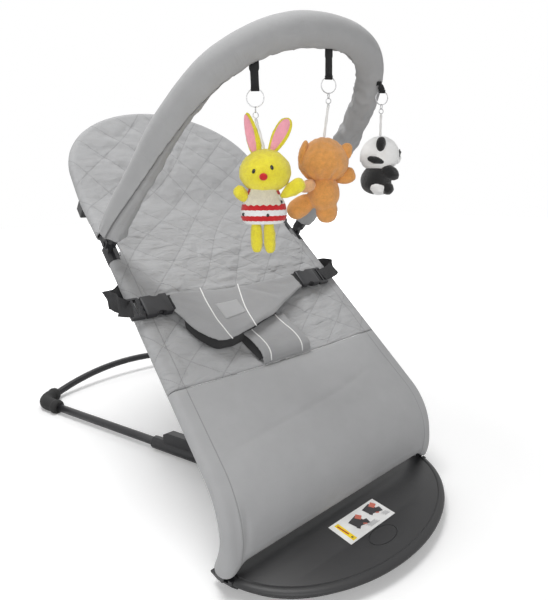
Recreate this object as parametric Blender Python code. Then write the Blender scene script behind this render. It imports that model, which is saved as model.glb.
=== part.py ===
"""Baby bouncer: a half-moon floor plate, a bent tube base with a notched rail,
a reclining fabric seat on a sprung hoop, a waist harness with two side release
buckles, and a padded arch that carries three hanging plush toys.

Metres, +Z up, +Y to the head end, origin on the floor in the plane of symmetry,
just ahead of the straight rear edge of the floor plate.
"""
import math

import bmesh
import bpy
from mathutils import Matrix, Vector

GAP = 0.0003                    # air between two pieces that touch
RUN_GAP = 0.0005                # air between two pieces that turn or slide on each other
BORE_EASE = 0.0005              # a bore over the rigid tube that sits in it, on the radius
SLEEVE_EASE = 0.0006            # a plastic or rubber sleeve over its tube, on the radius
PIN_EASE = 0.0004               # an eye over the pin that turns in it, on the radius
CUT_OVER = 0.010                # how far a cutter runs on past the piece that it cuts

# seat line, seen from the side
HINGE_Y = -0.010                # axis that the seat reclines about
HINGE_Z = 0.030
LEG_LEAN = math.radians(112)    # direction of the legs at the hinge
LEG_RUN = 0.004
KNEE_RADIUS = 0.093
SEAT_ANGLE = math.radians(40.2)
SEAT_RUN = 0.4444
NECK_RADIUS = 0.150
HEAD_ANGLE = math.radians(55)
RECLINE = math.radians(38)      # how far the seat folds down from the photographed position

# seat tubes
SEAT_TUBE_R = 0.0065
RAIL_X_FOOT = 0.1905            # half width between the rails at the hinge
RAIL_X_SHOULDER = 0.1785        # and from the shoulders up
SHOULDER_S = 0.480
HOOP_RISE = 0.1265              # from the hoop's widest place to its top
HOOP_S = 0.633                  # where the hoop is widest, measured along the seat line
HOOP_JOINT_S = 0.612            # where the rails plug into the hoop
HINGE_BARREL_R = 0.0090
HINGE_BARREL_LENGTH = 0.010
FLAT_END = 0.0112               # the foot of a rail is flattened to the barrel's length up to here
HINGE_PIN_R = 0.0030

# fabric
FABRIC = 0.0022                 # thickness of the quilted cloth
SLEEVE_CLEARANCE = 0.0010       # between a seat tube and the sleeve sewn round it
HEM = 0.014                     # how far the sleeve's hem reaches inwards under the seat
FABRIC_FOOT_S = 0.0135          # lower edge of the cloth
SEAM_S = 0.228                  # seam between the plain and the quilted cloth
SAG = 0.010                     # deepest sag of the cloth between the rails
SAG_START_S = 0.060
SAG_FULL_S = 0.300
SAG_LEFT_AT_HEAD = 0.003
LOWER_ROWS = (0.175,)           # rows of the cloth's sheet along the seat, besides the frame's bends
UPPER_ROWS = (0.275, 0.330, 0.390, 0.435)
SHOULDER_ROW = 0.525

# floor plate
PLATE_HALF_WIDTH = 0.1975
PLATE_DEPTH = 0.1412
PLATE_REAR_Y = 0.010
PLATE_TOP = 0.025
PLATE_WALL = 0.0026
PLATE_ROUND = 0.0092            # width of the rounded rim, seen from above
PLATE_RIM_FULL = 0.0205         # height at which the rim is widest
PLATE_RIM_UNDER = (0.0013, 0.0175)      # where the undercut starts: drawn in by, at height
PLATE_FOOT = (0.0165, 0.0035)   # where it ends in the upright lip that stands on the cover's edge
PLATE_RIM_LOW = 0.0010          # lower edge of that lip
PLATE_SLOPE_WALL = 0.0011       # the undercut's inside lies this much higher
PLATE_BACK = 0.0040             # how far the crease draws in at the straight rear edge
PLATE_BACK_WALL = 0.0014
COVER_LOW = 0.0014
COVER_THICK = 0.0012
GRIP_THICK = 0.0011
GRIP_BAND = 0.014
GRIP_HALF_WIDTH = 0.158
GRIP_DEPTH = 0.112
GRIP_REAR_Y = 0.006
MARK_X = -0.0035                # the cap and the label lie this much to the left
CAP_HALF = (0.0228, 0.0123)     # half length and half width of the oval cap
CAP_Y = -0.090
CAP_THICK = 0.0016
CAP_SIDES = 32
LABEL_SIZE = (0.0885, 0.0392)
LABEL_Y = -0.056
LABEL_THICK = 0.0004

# saddle inside the plate
CLAMP_WALL = 0.010
CLAMP_Y = (0.006, 0.036)        # its front and rear, behind the tubes' ends
CLAMP_BEVEL = 0.002

# hinge bracket at each end of the plate's rear edge
CHEEK = 0.0022
BRACKET_FRONT = 0.0150          # ahead of the hinge axis
BRACKET_FLOOR = 0.0195          # top of the block between the cheeks
BRACKET_WALL_TOP = 0.0236       # top of the wall ahead of the barrel
BRACKET_LOW = 0.0095            # underside of the block, and the height at which its undercut starts
BRACKET_UNDER = 0.0170
BRACKET_TRIM = (0.0060, 0.0200)         # cut off its outer front corner, across and along
BRACKET_CHEEK_R = 0.0090
CHEEK_FOOT = (0.0040, 0.0105)   # a cheek's foot ahead of the hinge axis, and behind it
PIN_SHORT = 0.0004              # how far a hinge pin's ends stay inside the cheeks

# base frame
BASE_TUBE_R = 0.0074
BASE_Z = 0.0135                 # height of the tubes' centre line
BASE_FRONT_X = 0.028
BASE_FRONT_Y = -0.055           # ends of the tubes inside the plate
BASE_SPREAD_Y = 0.087           # from here back the tubes spread
BASE_SPREAD = math.radians(19.5)
BASE_SPREAD_BEND = 0.120
BASE_CORNER_Y = 0.650           # where a side tube and the rear bar would meet without the bend
BASE_CORNER_R = 0.034
REAR_BAR_Y = 0.700              # middle of the bowed rear bar
REAR_BAR_LIFT = 0.024           # how far its middle rises
TUBE_JOINT = 0.022              # joint between tube and rear bar, ahead of the corner bend
FOOT_R = 0.0140
FOOT_REACH = 0.012              # how far the rubber runs on past the corner bend
FOOT_FLAT = 0.0005
FOOT_CUT = (0.4, 0.4, 0.9, -0.05)       # the cutter under the feet: half width, front, rear, underside

# notched rail on each base tube
RATCHET_R = 0.0113
RATCHET_REAR_Y = 0.330
RATCHET_FRONT_Y = 0.112
RAMP_WIDTH = 0.014
RAMP_REAR_Y = 0.302
RAMP_BACK_HIGH = 0.018          # height of the block behind the first notch, over the tube sleeve
NOTCH_DEPTH = 0.0035
RAMP_END = 0.004                # the block stops this far short of the sleeve's front end
RAMP_SUNK = 0.0073              # depth of the block's foot inside the sleeve
RAMP_CORNER = (0.008, 0.005)    # cut off its rear top corner
NOTCH_STEPS = (0.033, 0.055)     # the lower notches, ahead of the first

# prop that holds the seat up
PROP_R = 0.0060
PROP_S = 0.585                  # where it hangs from the seat, along the seat line
PROP_DROP = 0.022               # its pivot below the rail's centre
PROP_TOP_X = 0.1640
PROP_FOOT = (0.190, 0.042)      # foot bar in the first notch
PROP_FOOT_X = 0.096
PROP_FOOT_BEND = 0.020
PROP_PIN_R = 0.0035
PROP_EYE_R = 0.0080
PROP_EYE_LENGTH = 0.014
PROP_RATIO = 0.60               # turn of the prop on the seat per turn of the seat
SHOE_R = 0.0075
SHOE_REACH = 0.075
SHOE_EASE = 0.0004              # between the shoe and the foot bar in it
HANGER_LENGTH = 0.020
HANGER_X = (0.1716, 0.1846)
HANGER_FOOT = 0.009             # how far a hanger reaches below the prop's pivot
HANGER_BEVEL = 0.0012
HANGER_PIN_PAST = 0.002         # the pin runs on past the prop's eye, and into the hanger
HANGER_PIN_SUNK = 0.004

# toy bar
BAR_PIVOT_S = 0.473
BAR_PIVOT_H = 0.0184
BAR_ANGLE = math.radians(135)
BAR_FOOT_X = 0.184
BAR_TOP_X = 0.138               # half width at the corner of the arch, before it is rounded
BAR_HEIGHT = 0.352
BAR_BEND = 0.150
BAR_ROD_R = 0.0040
BAR_PAD_R = 0.0185
BAR_PAD_END_R = 0.0120
BAR_PAD_START = 0.0195          # along the leg from the pivot
BAR_PAD_TAPER = 0.012
PAD_EASE = 0.0010               # between the rod and the padding
PAD_SIDES = 10
ROD_START = 0.0086               # lower end of the inner rod, along the leg
KNUCKLE_START = 0.0078
KNUCKLE_CHEEK = 0.004
KNUCKLE_R = 0.0070
KNUCKLE_TOP = 0.0190
KNUCKLE_BARREL_R = 0.0098
KNUCKLE_FORK_TOP = 0.0125       # how far a cheek of the fork runs up into the barrel
ROD_SOCKET_END = 0.030
PIN_SUNK = 0.001                # how far pin and boss run into each other and into a cheek
PIVOT_PIN_R = 0.0030
BOSS_R = 0.0042
BOSS_HEIGHT = 0.0016
CLIP_S = 0.464
CLIP_LENGTH = 0.030
CLIP_R = 0.0106
CLIP_LUG = 0.006
CLIP_LUG_R = 0.0066
CLIP_LUG_FLARE = 0.002          # the lug widens by this on each side at its foot
CLIP_LUG_SUNK = 0.001
CLIP_MOUTH = (-0.0045, 0.0035)  # the open side of the clip, towards the seat
HANGER_SLOT = 0.002             # opening in the hem round a prop hanger
HANGER_SLOT_H = (-0.030, -0.0026)       # lower and upper end of its cutter, from the rail's centre
WINDOW_S = (0.436, 0.506)       # opening in the fabric sleeve for the clip
WINDOW_IN = 0.020
WINDOW_DEEP = 0.020

# harness, in the seat's own coordinates (x across, s along, h above the rail's centre)
BUCKLE_S = 0.352
BUCKLE_H = 0.0180
BUCKLE_X = {"left": -0.1425, "right": 0.098}    # inner end of each socket
SOCKET = (0.0395, 0.032, 0.0110)
SOCKET_WALL = 0.0022
SOCKET_SIDE = 0.0028            # its side walls
SOCKET_BLIND = 0.006            # solid inner end, where the flap is sewn on
SOCKET_WINDOW = (0.014, 0.026)  # opening in each side wall, from the inner end
SOCKET_SILL = 0.0006            # the opening is this much lower than the hollow, above and below
SOCKET_BEVEL = 0.0014
LADDER = (0.0200, 0.034, 0.0070)
LADDER_BAR = 0.0030
LADDER_SLOT = 0.0045
TONGUE_LENGTH = 0.026
PRONG_WIDTH = 0.0060
PRONG_BEVEL = 0.0008
PRONG_ROOT = 0.002              # how far a prong runs into the ladder lock
LADDER_BEVEL = 0.0018
LADDER_EASE = 0.0006            # a ladder slot past the webbing, at each end
WEBBING_WIDTH = 0.0250
WEBBING_THICK = 0.0015
WEBBING_BULGE = 0.016           # how far the strap stands off the fabric's edge
WEBBING_LEAST = 0.010           # and at least off the ladder lock
WEBBING_ROUTE = (               # further out than, by; higher than, by; shift along the seat
    ("lock", 0.0, "buckle", 0.0, 0.0),
    ("halfway", 0.002, "buckle", 0.001, 0.002),
    ("bulge", -0.003, "buckle", -0.006, 0.006),
    ("bulge", 0.0, "rail", 0.002, 0.012),
    ("bulge", -0.004, "rail", -0.008, 0.018),
    ("edge", -0.004, "under", -0.005, 0.022),
    ("tube", -0.004, "under", 0.0, 0.026),
    ("hem", 0.002, "under", 0.0, 0.028),
)
FLAP_THICK = 0.0060
FLAP_COLUMNS = (                # x, lower edge s, upper edge s, height h
    (-0.1420, 0.336, 0.366, 0.0180),
    (-0.1250, 0.296, 0.367, 0.0195),
    (-0.1050, 0.273, 0.363, 0.0225),
    (-0.0800, 0.271, 0.358, 0.0255),
    (-0.0500, 0.277, 0.355, 0.0265),
    (-0.0200, 0.286, 0.355, 0.0258),
    (0.0050, 0.293, 0.357, 0.0245),
    (0.0350, 0.308, 0.360, 0.0215),
    (0.0650, 0.322, 0.363, 0.0195),
    (0.0975, 0.336, 0.366, 0.0180),
)
CROTCH_THICK = 0.0050
CROTCH_ROWS = (                 # s, left x, right x, gap under the band
    (0.2300, -0.046, 0.047, -0.0004),
    (0.2360, -0.047, 0.046, 0.0070),
    (0.2460, -0.048, 0.045, 0.0105),
    (0.2620, -0.052, 0.042, 0.0115),
    (0.2800, -0.057, 0.038, 0.0095),
    (0.3000, -0.060, 0.034, 0.0080),
)

# hanging toys: strap at x on the arch, the ring's top from the arch's centre there, turn of the ring
RING_WIRE = 0.0009
STRAP_THICK = 0.0015
STRAP_WRAP = math.radians(42)   # how far the top end wraps the padding to each side
STRAP_WRAP_STEPS = 6
STRAP_EYE = 0.0024
STRAP_EYE_DROP = 0.0007         # its centre below the top of the ring
CHAIN_R = 0.0032
CHAIN_WIRE = 0.0006
CHAIN_PITCH = 2 * CHAIN_R - 0.8 * CHAIN_WIRE
STRING_R = 0.0013
STRING_SUNK = 0.004             # how far it runs into the head
TOYS = {
    "bunny": {"strap_x": -0.0960, "hang": (0.00690, -0.00079, -0.04567), "turn": -39.5,
              "width": 0.0100, "string": 0.0310, "ring_r": 0.0096},
    "bear": {"strap_x": 0.0050, "hang": (0.00030, 0.00017, -0.04803), "turn": -28.0,
             "width": 0.0090, "string": 0.0380, "ring_r": 0.0090},
    "panda": {"strap_x": 0.1150, "hang": (0.01020, -0.01876, -0.01450), "turn": -28.0,
              "width": 0.0085, "string": 0.0290, "ring_r": 0.0088},
}

KNEE_TURN = LEG_LEAN - SEAT_ANGLE
NECK_TURN = HEAD_ANGLE - SEAT_ANGLE
SEAT_S = LEG_RUN + KNEE_RADIUS * KNEE_TURN
NECK_S = SEAT_S + SEAT_RUN
HEAD_S = NECK_S + NECK_RADIUS * NECK_TURN
SLEEVE_R = SEAT_TUBE_R + SLEEVE_CLEARANCE + FABRIC / 2


def clear_scene():
    for obj in list(bpy.data.objects):
        bpy.data.objects.remove(obj, do_unlink=True)


# materials

FINISHES = {
    "dark_plastic": ((0.055, 0.057, 0.060), 0.50, 0.0),
    "black_plastic": ((0.016, 0.016, 0.018), 0.40, 0.0),
    "black_tube": ((0.014, 0.014, 0.016), 0.33, 0.3),
    "rubber": ((0.012, 0.012, 0.012), 0.85, 0.0),
    "steel": ((0.62, 0.62, 0.63), 0.28, 1.0),
    "quilted_cloth": ((0.385, 0.385, 0.390), 0.92, 0.0),
    "plain_cloth": ((0.365, 0.365, 0.370), 0.90, 0.0),
    "harness_cloth": ((0.350, 0.350, 0.355), 0.90, 0.0),
    "bar_cloth": ((0.480, 0.480, 0.485), 0.85, 0.0),
    "webbing": ((0.014, 0.014, 0.015), 0.80, 0.0),
    "label": ((0.85, 0.85, 0.84), 0.40, 0.0),
    "yellow_plush": ((0.90, 0.74, 0.06), 0.95, 0.0),
    "red_knit": ((0.62, 0.02, 0.03), 0.95, 0.0),
    "brown_plush": ((0.60, 0.27, 0.08), 0.95, 0.0),
    "white_plush": ((0.80, 0.80, 0.80), 0.95, 0.0),
    "black_plush": ((0.010, 0.010, 0.011), 0.95, 0.0),
}


def finish(name):
    """The named finish as a material, made once."""
    found = bpy.data.materials.get(name)
    if found:
        return found
    colour, roughness, metallic = FINISHES[name]
    made = bpy.data.materials.new(name)
    made.use_nodes = True
    shader = made.node_tree.nodes["Principled BSDF"]
    shader.inputs["Base Color"].default_value = (*colour, 1.0)
    shader.inputs["Roughness"].default_value = roughness
    shader.inputs["Metallic"].default_value = metallic
    return made


# shared making functions

def carrier(name, place, parent=None):
    """An empty on a joint's axis, which carries the pieces that move about it."""
    empty = bpy.data.objects.new(name, None)
    bpy.context.scene.collection.objects.link(empty)
    if parent:
        empty.parent = parent
        empty.location = Vector(place) - parent.matrix_world.translation
    else:
        empty.location = place
    bpy.context.view_layer.update()
    return empty


def put(name, bm, material, parent=None, sharp=40):
    """Turn a bmesh into a finished object on its carrier."""
    bmesh.ops.recalc_face_normals(bm, faces=bm.faces)
    mesh = bpy.data.meshes.new(name)
    bm.to_mesh(mesh)
    bm.free()
    mesh.shade_smooth()
    mesh.set_sharp_from_angle(angle=math.radians(sharp))
    obj = bpy.data.objects.new(name, mesh)
    if material:
        mesh.materials.append(finish(material))
    bpy.context.scene.collection.objects.link(obj)
    if parent:
        obj.parent = parent
        obj.matrix_parent_inverse = parent.matrix_world.inverted()
    return obj


def guide(name, bm):
    """A cutter or a piece to be joined on, which isn't built by itself."""
    obj = put(name, bm, None)
    obj.hide_render = True
    obj.display_type = "WIRE"
    return obj


def combine(obj, other, operation):
    change = obj.modifiers.new(other.name, "BOOLEAN")
    change.operation = operation
    change.object = other
    change.solver = "EXACT"
    return obj


def cut(obj, *cutters):
    for cutter in cutters:
        combine(obj, cutter, "DIFFERENCE")
    return obj


def weld(obj, *others):
    for other in others:
        combine(obj, other, "UNION")
    return obj


def skin(rings, closed=False):
    """Faces over a row of rings that have as many points each, with the ends filled."""
    bm = bmesh.new()
    rows = [[bm.verts.new(point) for point in ring] for ring in rings]
    count = len(rows[0])
    pairs = list(zip(rows, rows[1:]))
    if closed:
        pairs.append((rows[-1], rows[0]))
    for low, high in pairs:
        for i in range(count):
            j = (i + 1) % count
            bm.faces.new((low[i], low[j], high[j], high[i]))
    if not closed:
        bm.faces.new(list(reversed(rows[0])))
        bm.faces.new(rows[-1])
    return bm


def path_rings(points, radii, sides, phase=0.5):
    """Round rings along a path, carried along it without twisting."""
    points = [Vector(p) for p in points]
    last = len(points) - 1
    heads = []
    for i in range(len(points)):
        heads.append((points[min(i + 1, last)] - points[max(i - 1, 0)]).normalized())
    side = heads[0].orthogonal().normalized()
    if abs(heads[0].x) < 0.9:
        side = (Vector((1, 0, 0)) - heads[0] * heads[0].x).normalized()
    rings = []
    for point, head, radius in zip(points, heads, radii):
        side = (side - head * side.dot(head)).normalized()
        up = head.cross(side)
        turns = [2 * math.pi * (k + phase) / sides for k in range(sides)]
        rings.append([point + (side * math.cos(t) + up * math.sin(t)) * radius for t in turns])
    return rings


def tube(points, radius, sides=10, bore=0.0):
    """A round bar along a path, or a pipe when it has a bore."""
    radii = radius if isinstance(radius, (list, tuple)) else [radius] * len(points)
    outer = path_rings(points, radii, sides)
    if not bore:
        return skin(outer)
    inner = path_rings(points, [bore] * len(points), sides)
    return skin(outer + inner[::-1], closed=True)


def rod(start, end, radius, sides=12):
    return tube([start, end], radius, sides)


def ring_torus(centre, across, along, radius, wire, turns=16, sides=6):
    """A closed wire ring in the plane of two directions."""
    facing = across.cross(along)
    rings = []
    for k in range(turns):
        angle = 2 * math.pi * k / turns
        out = across * math.cos(angle) + along * math.sin(angle)
        ring = []
        for j in range(sides):
            tilt = 2 * math.pi * j / sides
            ring.append(centre + out * (radius + wire * math.cos(tilt)) + facing * wire * math.sin(tilt))
        rings.append(ring)
    return skin(rings, closed=True)


def block(low, high, bevel=0.0, place=None, segments=1):
    """A box between two corners, with its edges rounded off."""
    bm = bmesh.new()
    bmesh.ops.create_cube(bm, size=1.0)
    size = [high[i] - low[i] for i in range(3)]
    middle = [(high[i] + low[i]) / 2 for i in range(3)]
    bmesh.ops.scale(bm, vec=size, verts=bm.verts)
    bmesh.ops.translate(bm, vec=middle, verts=bm.verts)
    if bevel:
        bmesh.ops.bevel(bm, geom=list(bm.edges), offset=bevel, segments=segments, affect="EDGES", profile=0.5)
    if place:
        bmesh.ops.transform(bm, matrix=place, verts=bm.verts)
    return bm


def prism(outline, low, high, place=None):
    """A flat outline (two coordinates) run from one height to another along the third."""
    rings = [[Vector((height, a, b)) for a, b in outline] for height in (low, high)]
    bm = skin(rings)
    if place:
        bmesh.ops.transform(bm, matrix=place, verts=bm.verts)
    return bm


def round_corner(before, corner, after, radius, step=math.radians(9)):
    """Points of the arc that rounds one corner of a path."""
    before, corner, after = Vector(before), Vector(corner), Vector(after)
    come = (corner - before).normalized()
    leave = (after - corner).normalized()
    turn = come.angle(leave)
    back = radius * math.tan(turn / 2)
    start = corner - come * back
    inward = (leave - come * leave.dot(come)).normalized()
    centre = start + inward * radius
    count = max(2, round(turn / step))
    points = []
    for k in range(count + 1):
        angle = turn * k / count
        points.append(centre - inward * radius * math.cos(angle) + come * radius * math.sin(angle))
    return points


def spread(start, end, count):
    return [start + (end - start) * k / count for k in range(count + 1)]


# the seat's own coordinates

def seat_frame(s):
    """Centre, direction and facing of the seat line, s metres up from the hinge."""
    y, z, angle, left = HINGE_Y, HINGE_Z, LEG_LEAN, s
    runs = (
        (LEG_RUN, 0.0),
        (KNEE_RADIUS * KNEE_TURN, -1 / KNEE_RADIUS),
        (SEAT_RUN, 0.0),
        (NECK_RADIUS * NECK_TURN, 1 / NECK_RADIUS),
        (10.0, 0.0),
    )
    for length, bend in runs:
        step = min(left, length)
        if bend:
            new = angle + bend * step
            y += (math.sin(new) - math.sin(angle)) / bend
            z += (math.cos(angle) - math.cos(new)) / bend
            angle = new
        else:
            y += step * math.cos(angle)
            z += step * math.sin(angle)
        left -= step
        if left <= 0:
            break
    along = Vector((0, math.cos(angle), math.sin(angle)))
    facing = Vector((0, -math.sin(angle), math.cos(angle)))
    return Vector((0, y, z)), along, facing


def on_seat(x, s, h):
    centre, _, facing = seat_frame(s)
    return centre + Vector((x, 0, 0)) + facing * h


def seat_place(x, s, h):
    """The matrix of a piece that lies on the seat: X across, Y along, Z facing."""
    _, along, facing = seat_frame(s)
    place = Matrix((Vector((1, 0, 0)), along, facing)).transposed().to_4x4()
    place.translation = on_seat(x, s, h)
    return place


def rail_x(s):
    share = min(max(s / SHOULDER_S, 0.0), 1.0)
    return RAIL_X_FOOT + (RAIL_X_SHOULDER - RAIL_X_FOOT) * share


def sag(s):
    """How far the middle of the cloth hangs below its edges."""
    if s < SAG_FULL_S:
        share = min(max((s - SAG_START_S) / (SAG_FULL_S - SAG_START_S), 0.0), 1.0)
        return SAG * share * share * (3 - 2 * share)
    share = min(max((s - NECK_S) / (HOOP_S - NECK_S), 0.0), 1.0)
    return SAG + (SAG_LEFT_AT_HEAD - SAG) * share


def cloth_h(x, s):
    """Height of the cloth's middle over the rail's centre."""
    return SLEEVE_R - sag(s) * max(0.0, 1 - (x / rail_x(s)) ** 2)


def hoop_edge(angle):
    """Centre of the hoop tube: x, s and the outward direction, from its widest place up."""
    x = RAIL_X_SHOULDER * math.cos(angle)
    s = HOOP_S + HOOP_RISE * math.sin(angle)
    out = Vector((math.cos(angle) / RAIL_X_SHOULDER, math.sin(angle) / HOOP_RISE)).normalized()
    return x, s, out


KNEE_STEPS = 8
NECK_STEPS = 3
KNEE_ROWS = spread(LEG_RUN, SEAT_S, KNEE_STEPS)
NECK_ROWS = spread(NECK_S, HEAD_S, NECK_STEPS)


# floor plate

def plate_outline(inset, height, back, count=28):
    """The half-moon outline at some height, drawn in by some distance, and by back at its rear edge."""
    points = []
    rear = PLATE_REAR_Y - back
    for k in range(count + 1):
        angle = math.pi + math.pi * k / count
        x = (PLATE_HALF_WIDTH - inset) * math.cos(angle)
        y = rear + (PLATE_DEPTH - inset - back) * math.sin(angle)
        points.append(Vector((x, y, height)))
    return points


def bracket_box(side, grow=0.0):
    """Corners of the space that a hinge bracket takes at one end of the plate."""
    inner = RAIL_X_FOOT - HINGE_BARREL_LENGTH / 2 - RUN_GAP - CHEEK - grow
    outer = RAIL_X_FOOT + HINGE_BARREL_LENGTH / 2 + RUN_GAP + CHEEK + grow
    low = Vector((inner if side > 0 else -outer, HINGE_Y - BRACKET_FRONT - grow, 0.0))
    high = Vector((outer if side > 0 else -inner, PLATE_REAR_Y + grow, HINGE_Z + BRACKET_CHEEK_R))
    return low, high


def corner_cutters():
    """The rooms at the ends of the plate's rear edge that the hinge brackets fill."""
    made = []
    for word, side in (("left", -1), ("right", 1)):
        low, high = bracket_box(side, GAP)
        low.z = -CUT_OVER
        high.z = PLATE_TOP + 2 * CUT_OVER
        high.y = PLATE_REAR_Y + CUT_OVER
        if side > 0:
            high.x += CUT_OVER
        else:
            low.x -= CUT_OVER
        made.append(guide(f"plate_corner_{word}", block(low, high)))
    return made


def oval(half, height, sides=CAP_SIDES):
    """An oval outline about the cap's centre."""
    points = []
    for k in range(sides):
        angle = 2 * math.pi * k / sides
        points.append(Vector((MARK_X + half[0] * math.cos(angle), CAP_Y + half[1] * math.sin(angle), height)))
    return points


def front_plate():
    """The hollow half-moon shell: a flat top, a rounded rim and an undercut below it."""
    rise = PLATE_TOP - PLATE_RIM_FULL
    outer = [
        (PLATE_FOOT[0], PLATE_RIM_LOW, 0.0),
        (*PLATE_FOOT, 0.0),
        (*PLATE_RIM_UNDER, 0.0),
        (0.0, PLATE_RIM_FULL, 0.0),
    ]
    for k in range(1, 5):
        angle = math.pi / 2 * k / 4
        share = 1 - math.cos(angle)
        outer.append((PLATE_ROUND * share, PLATE_RIM_FULL + rise * math.sin(angle), PLATE_BACK * share))
    inner = [
        (PLATE_FOOT[0] + PLATE_WALL, PLATE_RIM_LOW, PLATE_BACK_WALL),
        (PLATE_FOOT[0] + PLATE_WALL, PLATE_FOOT[1] + PLATE_SLOPE_WALL, PLATE_BACK_WALL),
        (PLATE_RIM_UNDER[0] + PLATE_WALL, PLATE_RIM_UNDER[1] + PLATE_SLOPE_WALL, PLATE_BACK_WALL),
        (PLATE_WALL, PLATE_RIM_FULL, PLATE_BACK_WALL),
    ]
    for k in (1, 2, 3):
        angle = math.pi / 2 * k / 3
        share = 1 - math.cos(angle)
        height = PLATE_RIM_FULL + (rise - PLATE_WALL) * math.sin(angle)
        inner.append((PLATE_WALL + PLATE_ROUND * share, height, PLATE_BACK_WALL + PLATE_BACK * share))
    rings = [plate_outline(*ring) for ring in inner[::-1] + outer]
    plate = put("front_plate", skin(rings), "dark_plastic", sharp=30)
    cut(plate, *corner_cutters())
    for word, side in (("left", -1), ("right", 1)):
        start = (side * BASE_FRONT_X, PLATE_REAR_Y - CUT_OVER, BASE_Z)
        end = (side * BASE_FRONT_X, PLATE_REAR_Y + CUT_OVER, BASE_Z)
        cut(plate, guide(f"tube_hole_{word}", rod(start, end, BASE_TUBE_R + BORE_EASE)))
    half = [length + SLEEVE_EASE for length in CAP_HALF]
    pocket = skin([oval(half, PLATE_TOP - CAP_THICK), oval(half, PLATE_TOP + CUT_OVER)])
    return cut(plate, guide("cap_pocket", pocket))


def plate_underside():
    inset = PLATE_FOOT[0] + PLATE_WALL + GAP
    back = PLATE_BACK_WALL + GAP
    rings = [plate_outline(inset, height, back) for height in (COVER_LOW, COVER_LOW + COVER_THICK)]
    return put("plate_underside", skin(rings), "dark_plastic")


def half_moon(half_width, depth, rear, height, count=20):
    """A plain half-moon outline: an arc with a straight rear edge."""
    points = []
    for k in range(count + 1):
        angle = math.pi + math.pi * k / count
        points.append(Vector((half_width * math.cos(angle), rear + depth * math.sin(angle), height)))
    return points


def grip_ring():
    """The rubber band under the plate, the surface that it stands on."""
    outer = (GRIP_HALF_WIDTH, GRIP_DEPTH, GRIP_REAR_Y)
    inner = (GRIP_HALF_WIDTH - GRIP_BAND, GRIP_DEPTH - 2 * GRIP_BAND, GRIP_REAR_Y - GRIP_BAND)
    rings = [half_moon(*outer, 0.0), half_moon(*outer, GRIP_THICK)]
    rings += [half_moon(*inner, GRIP_THICK), half_moon(*inner, 0.0)]
    return put("grip_ring", skin(rings, closed=True), "rubber")


def plate_cap():
    rings = [oval(CAP_HALF, PLATE_TOP - CAP_THICK + GAP), oval(CAP_HALF, PLATE_TOP)]
    return put("plate_cap", skin(rings), "dark_plastic")


def plate_label():
    half = (LABEL_SIZE[0] / 2, LABEL_SIZE[1] / 2)
    low = (MARK_X - half[0], LABEL_Y - half[1], PLATE_TOP + GAP)
    high = (MARK_X + half[0], LABEL_Y + half[1], PLATE_TOP + GAP + LABEL_THICK)
    return put("plate_label", block(low, high), "label")


def tube_clamp():
    """The saddle inside the plate that holds the front ends of the base tubes."""
    reach = BASE_FRONT_X + BASE_TUBE_R + CLAMP_WALL
    low = (-reach, BASE_FRONT_Y + CLAMP_Y[0], COVER_LOW + COVER_THICK + GAP)
    high = (reach, BASE_FRONT_Y + CLAMP_Y[1], PLATE_TOP - PLATE_WALL - GAP)
    clamp = put("tube_clamp", block(low, high, CLAMP_BEVEL), "black_plastic")
    for word, side in (("left", -1), ("right", 1)):
        start = (side * BASE_FRONT_X, low[1] - CUT_OVER, BASE_Z)
        end = (side * BASE_FRONT_X, high[1] + CUT_OVER, BASE_Z)
        cut(clamp, guide(f"clamp_bore_{word}", rod(start, end, BASE_TUBE_R + BORE_EASE)))
    return clamp


def bracket_section(side, height, inset=0.0):
    """The bracket's block at some height: a rectangle with its outer front corner cut off."""
    low, high = bracket_box(side)
    inner, outer = sorted((abs(low.x), abs(high.x)))
    rear = high.y - GAP
    corners = [
        (inner, low.y),
        (outer - BRACKET_TRIM[0] - inset, low.y),
        (outer - inset, low.y + BRACKET_TRIM[1]),
        (outer - inset, rear),
        (inner, rear),
    ]
    return [Vector((side * x, y, height)) for x, y in corners]


def hinge_brackets():
    """A fork at each rear corner of the plate, which holds the foot of a seat rail."""
    for word, side in (("left", -1), ("right", 1)):
        low, high = bracket_box(side)
        under = BRACKET_UNDER - BRACKET_LOW
        rings = [
            bracket_section(side, BRACKET_LOW, under),
            bracket_section(side, BRACKET_UNDER),
            bracket_section(side, BRACKET_WALL_TOP),
        ]
        bracket = put(f"hinge_bracket_{word}", skin(rings), "dark_plastic")
        room = block((low.x - CUT_OVER, HINGE_Y - HINGE_BARREL_R - 2 * RUN_GAP, BRACKET_FLOOR),
                     (high.x + CUT_OVER, high.y + CUT_OVER, high.z + CUT_OVER))
        cut(bracket, guide(f"barrel_room_{word}", room))
        half = HINGE_BARREL_LENGTH / 2 + RUN_GAP
        for k, start in enumerate((RAIL_X_FOOT - half - CHEEK, RAIL_X_FOOT + half)):
            floor = BRACKET_FLOOR - CHEEK / 2
            outline = [(HINGE_Y - CHEEK_FOOT[0], floor), (HINGE_Y + CHEEK_FOOT[1], floor)]
            for step in range(7):
                angle = math.pi * step / 6
                y = HINGE_Y + BRACKET_CHEEK_R * math.cos(angle)
                outline.append((y, HINGE_Z + BRACKET_CHEEK_R * math.sin(angle)))
            ends = sorted((side * start, side * (start + CHEEK)))
            weld(bracket, guide(f"cheek_{word}_{k}", prism(outline, *ends)))
        start = (low.x - CUT_OVER, HINGE_Y, HINGE_Z)
        end = (high.x + CUT_OVER, HINGE_Y, HINGE_Z)
        cut(bracket, guide(f"bracket_bore_{word}", rod(start, end, HINGE_PIN_R + GAP)))


def hinge_pins():
    for word, side in (("left", -1), ("right", 1)):
        low, high = bracket_box(side)
        pin = rod((low.x + PIN_SHORT, HINGE_Y, HINGE_Z), (high.x - PIN_SHORT, HINGE_Y, HINGE_Z), HINGE_PIN_R)
        put(f"hinge_pin_{word}", pin, "steel")


# base frame

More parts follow.
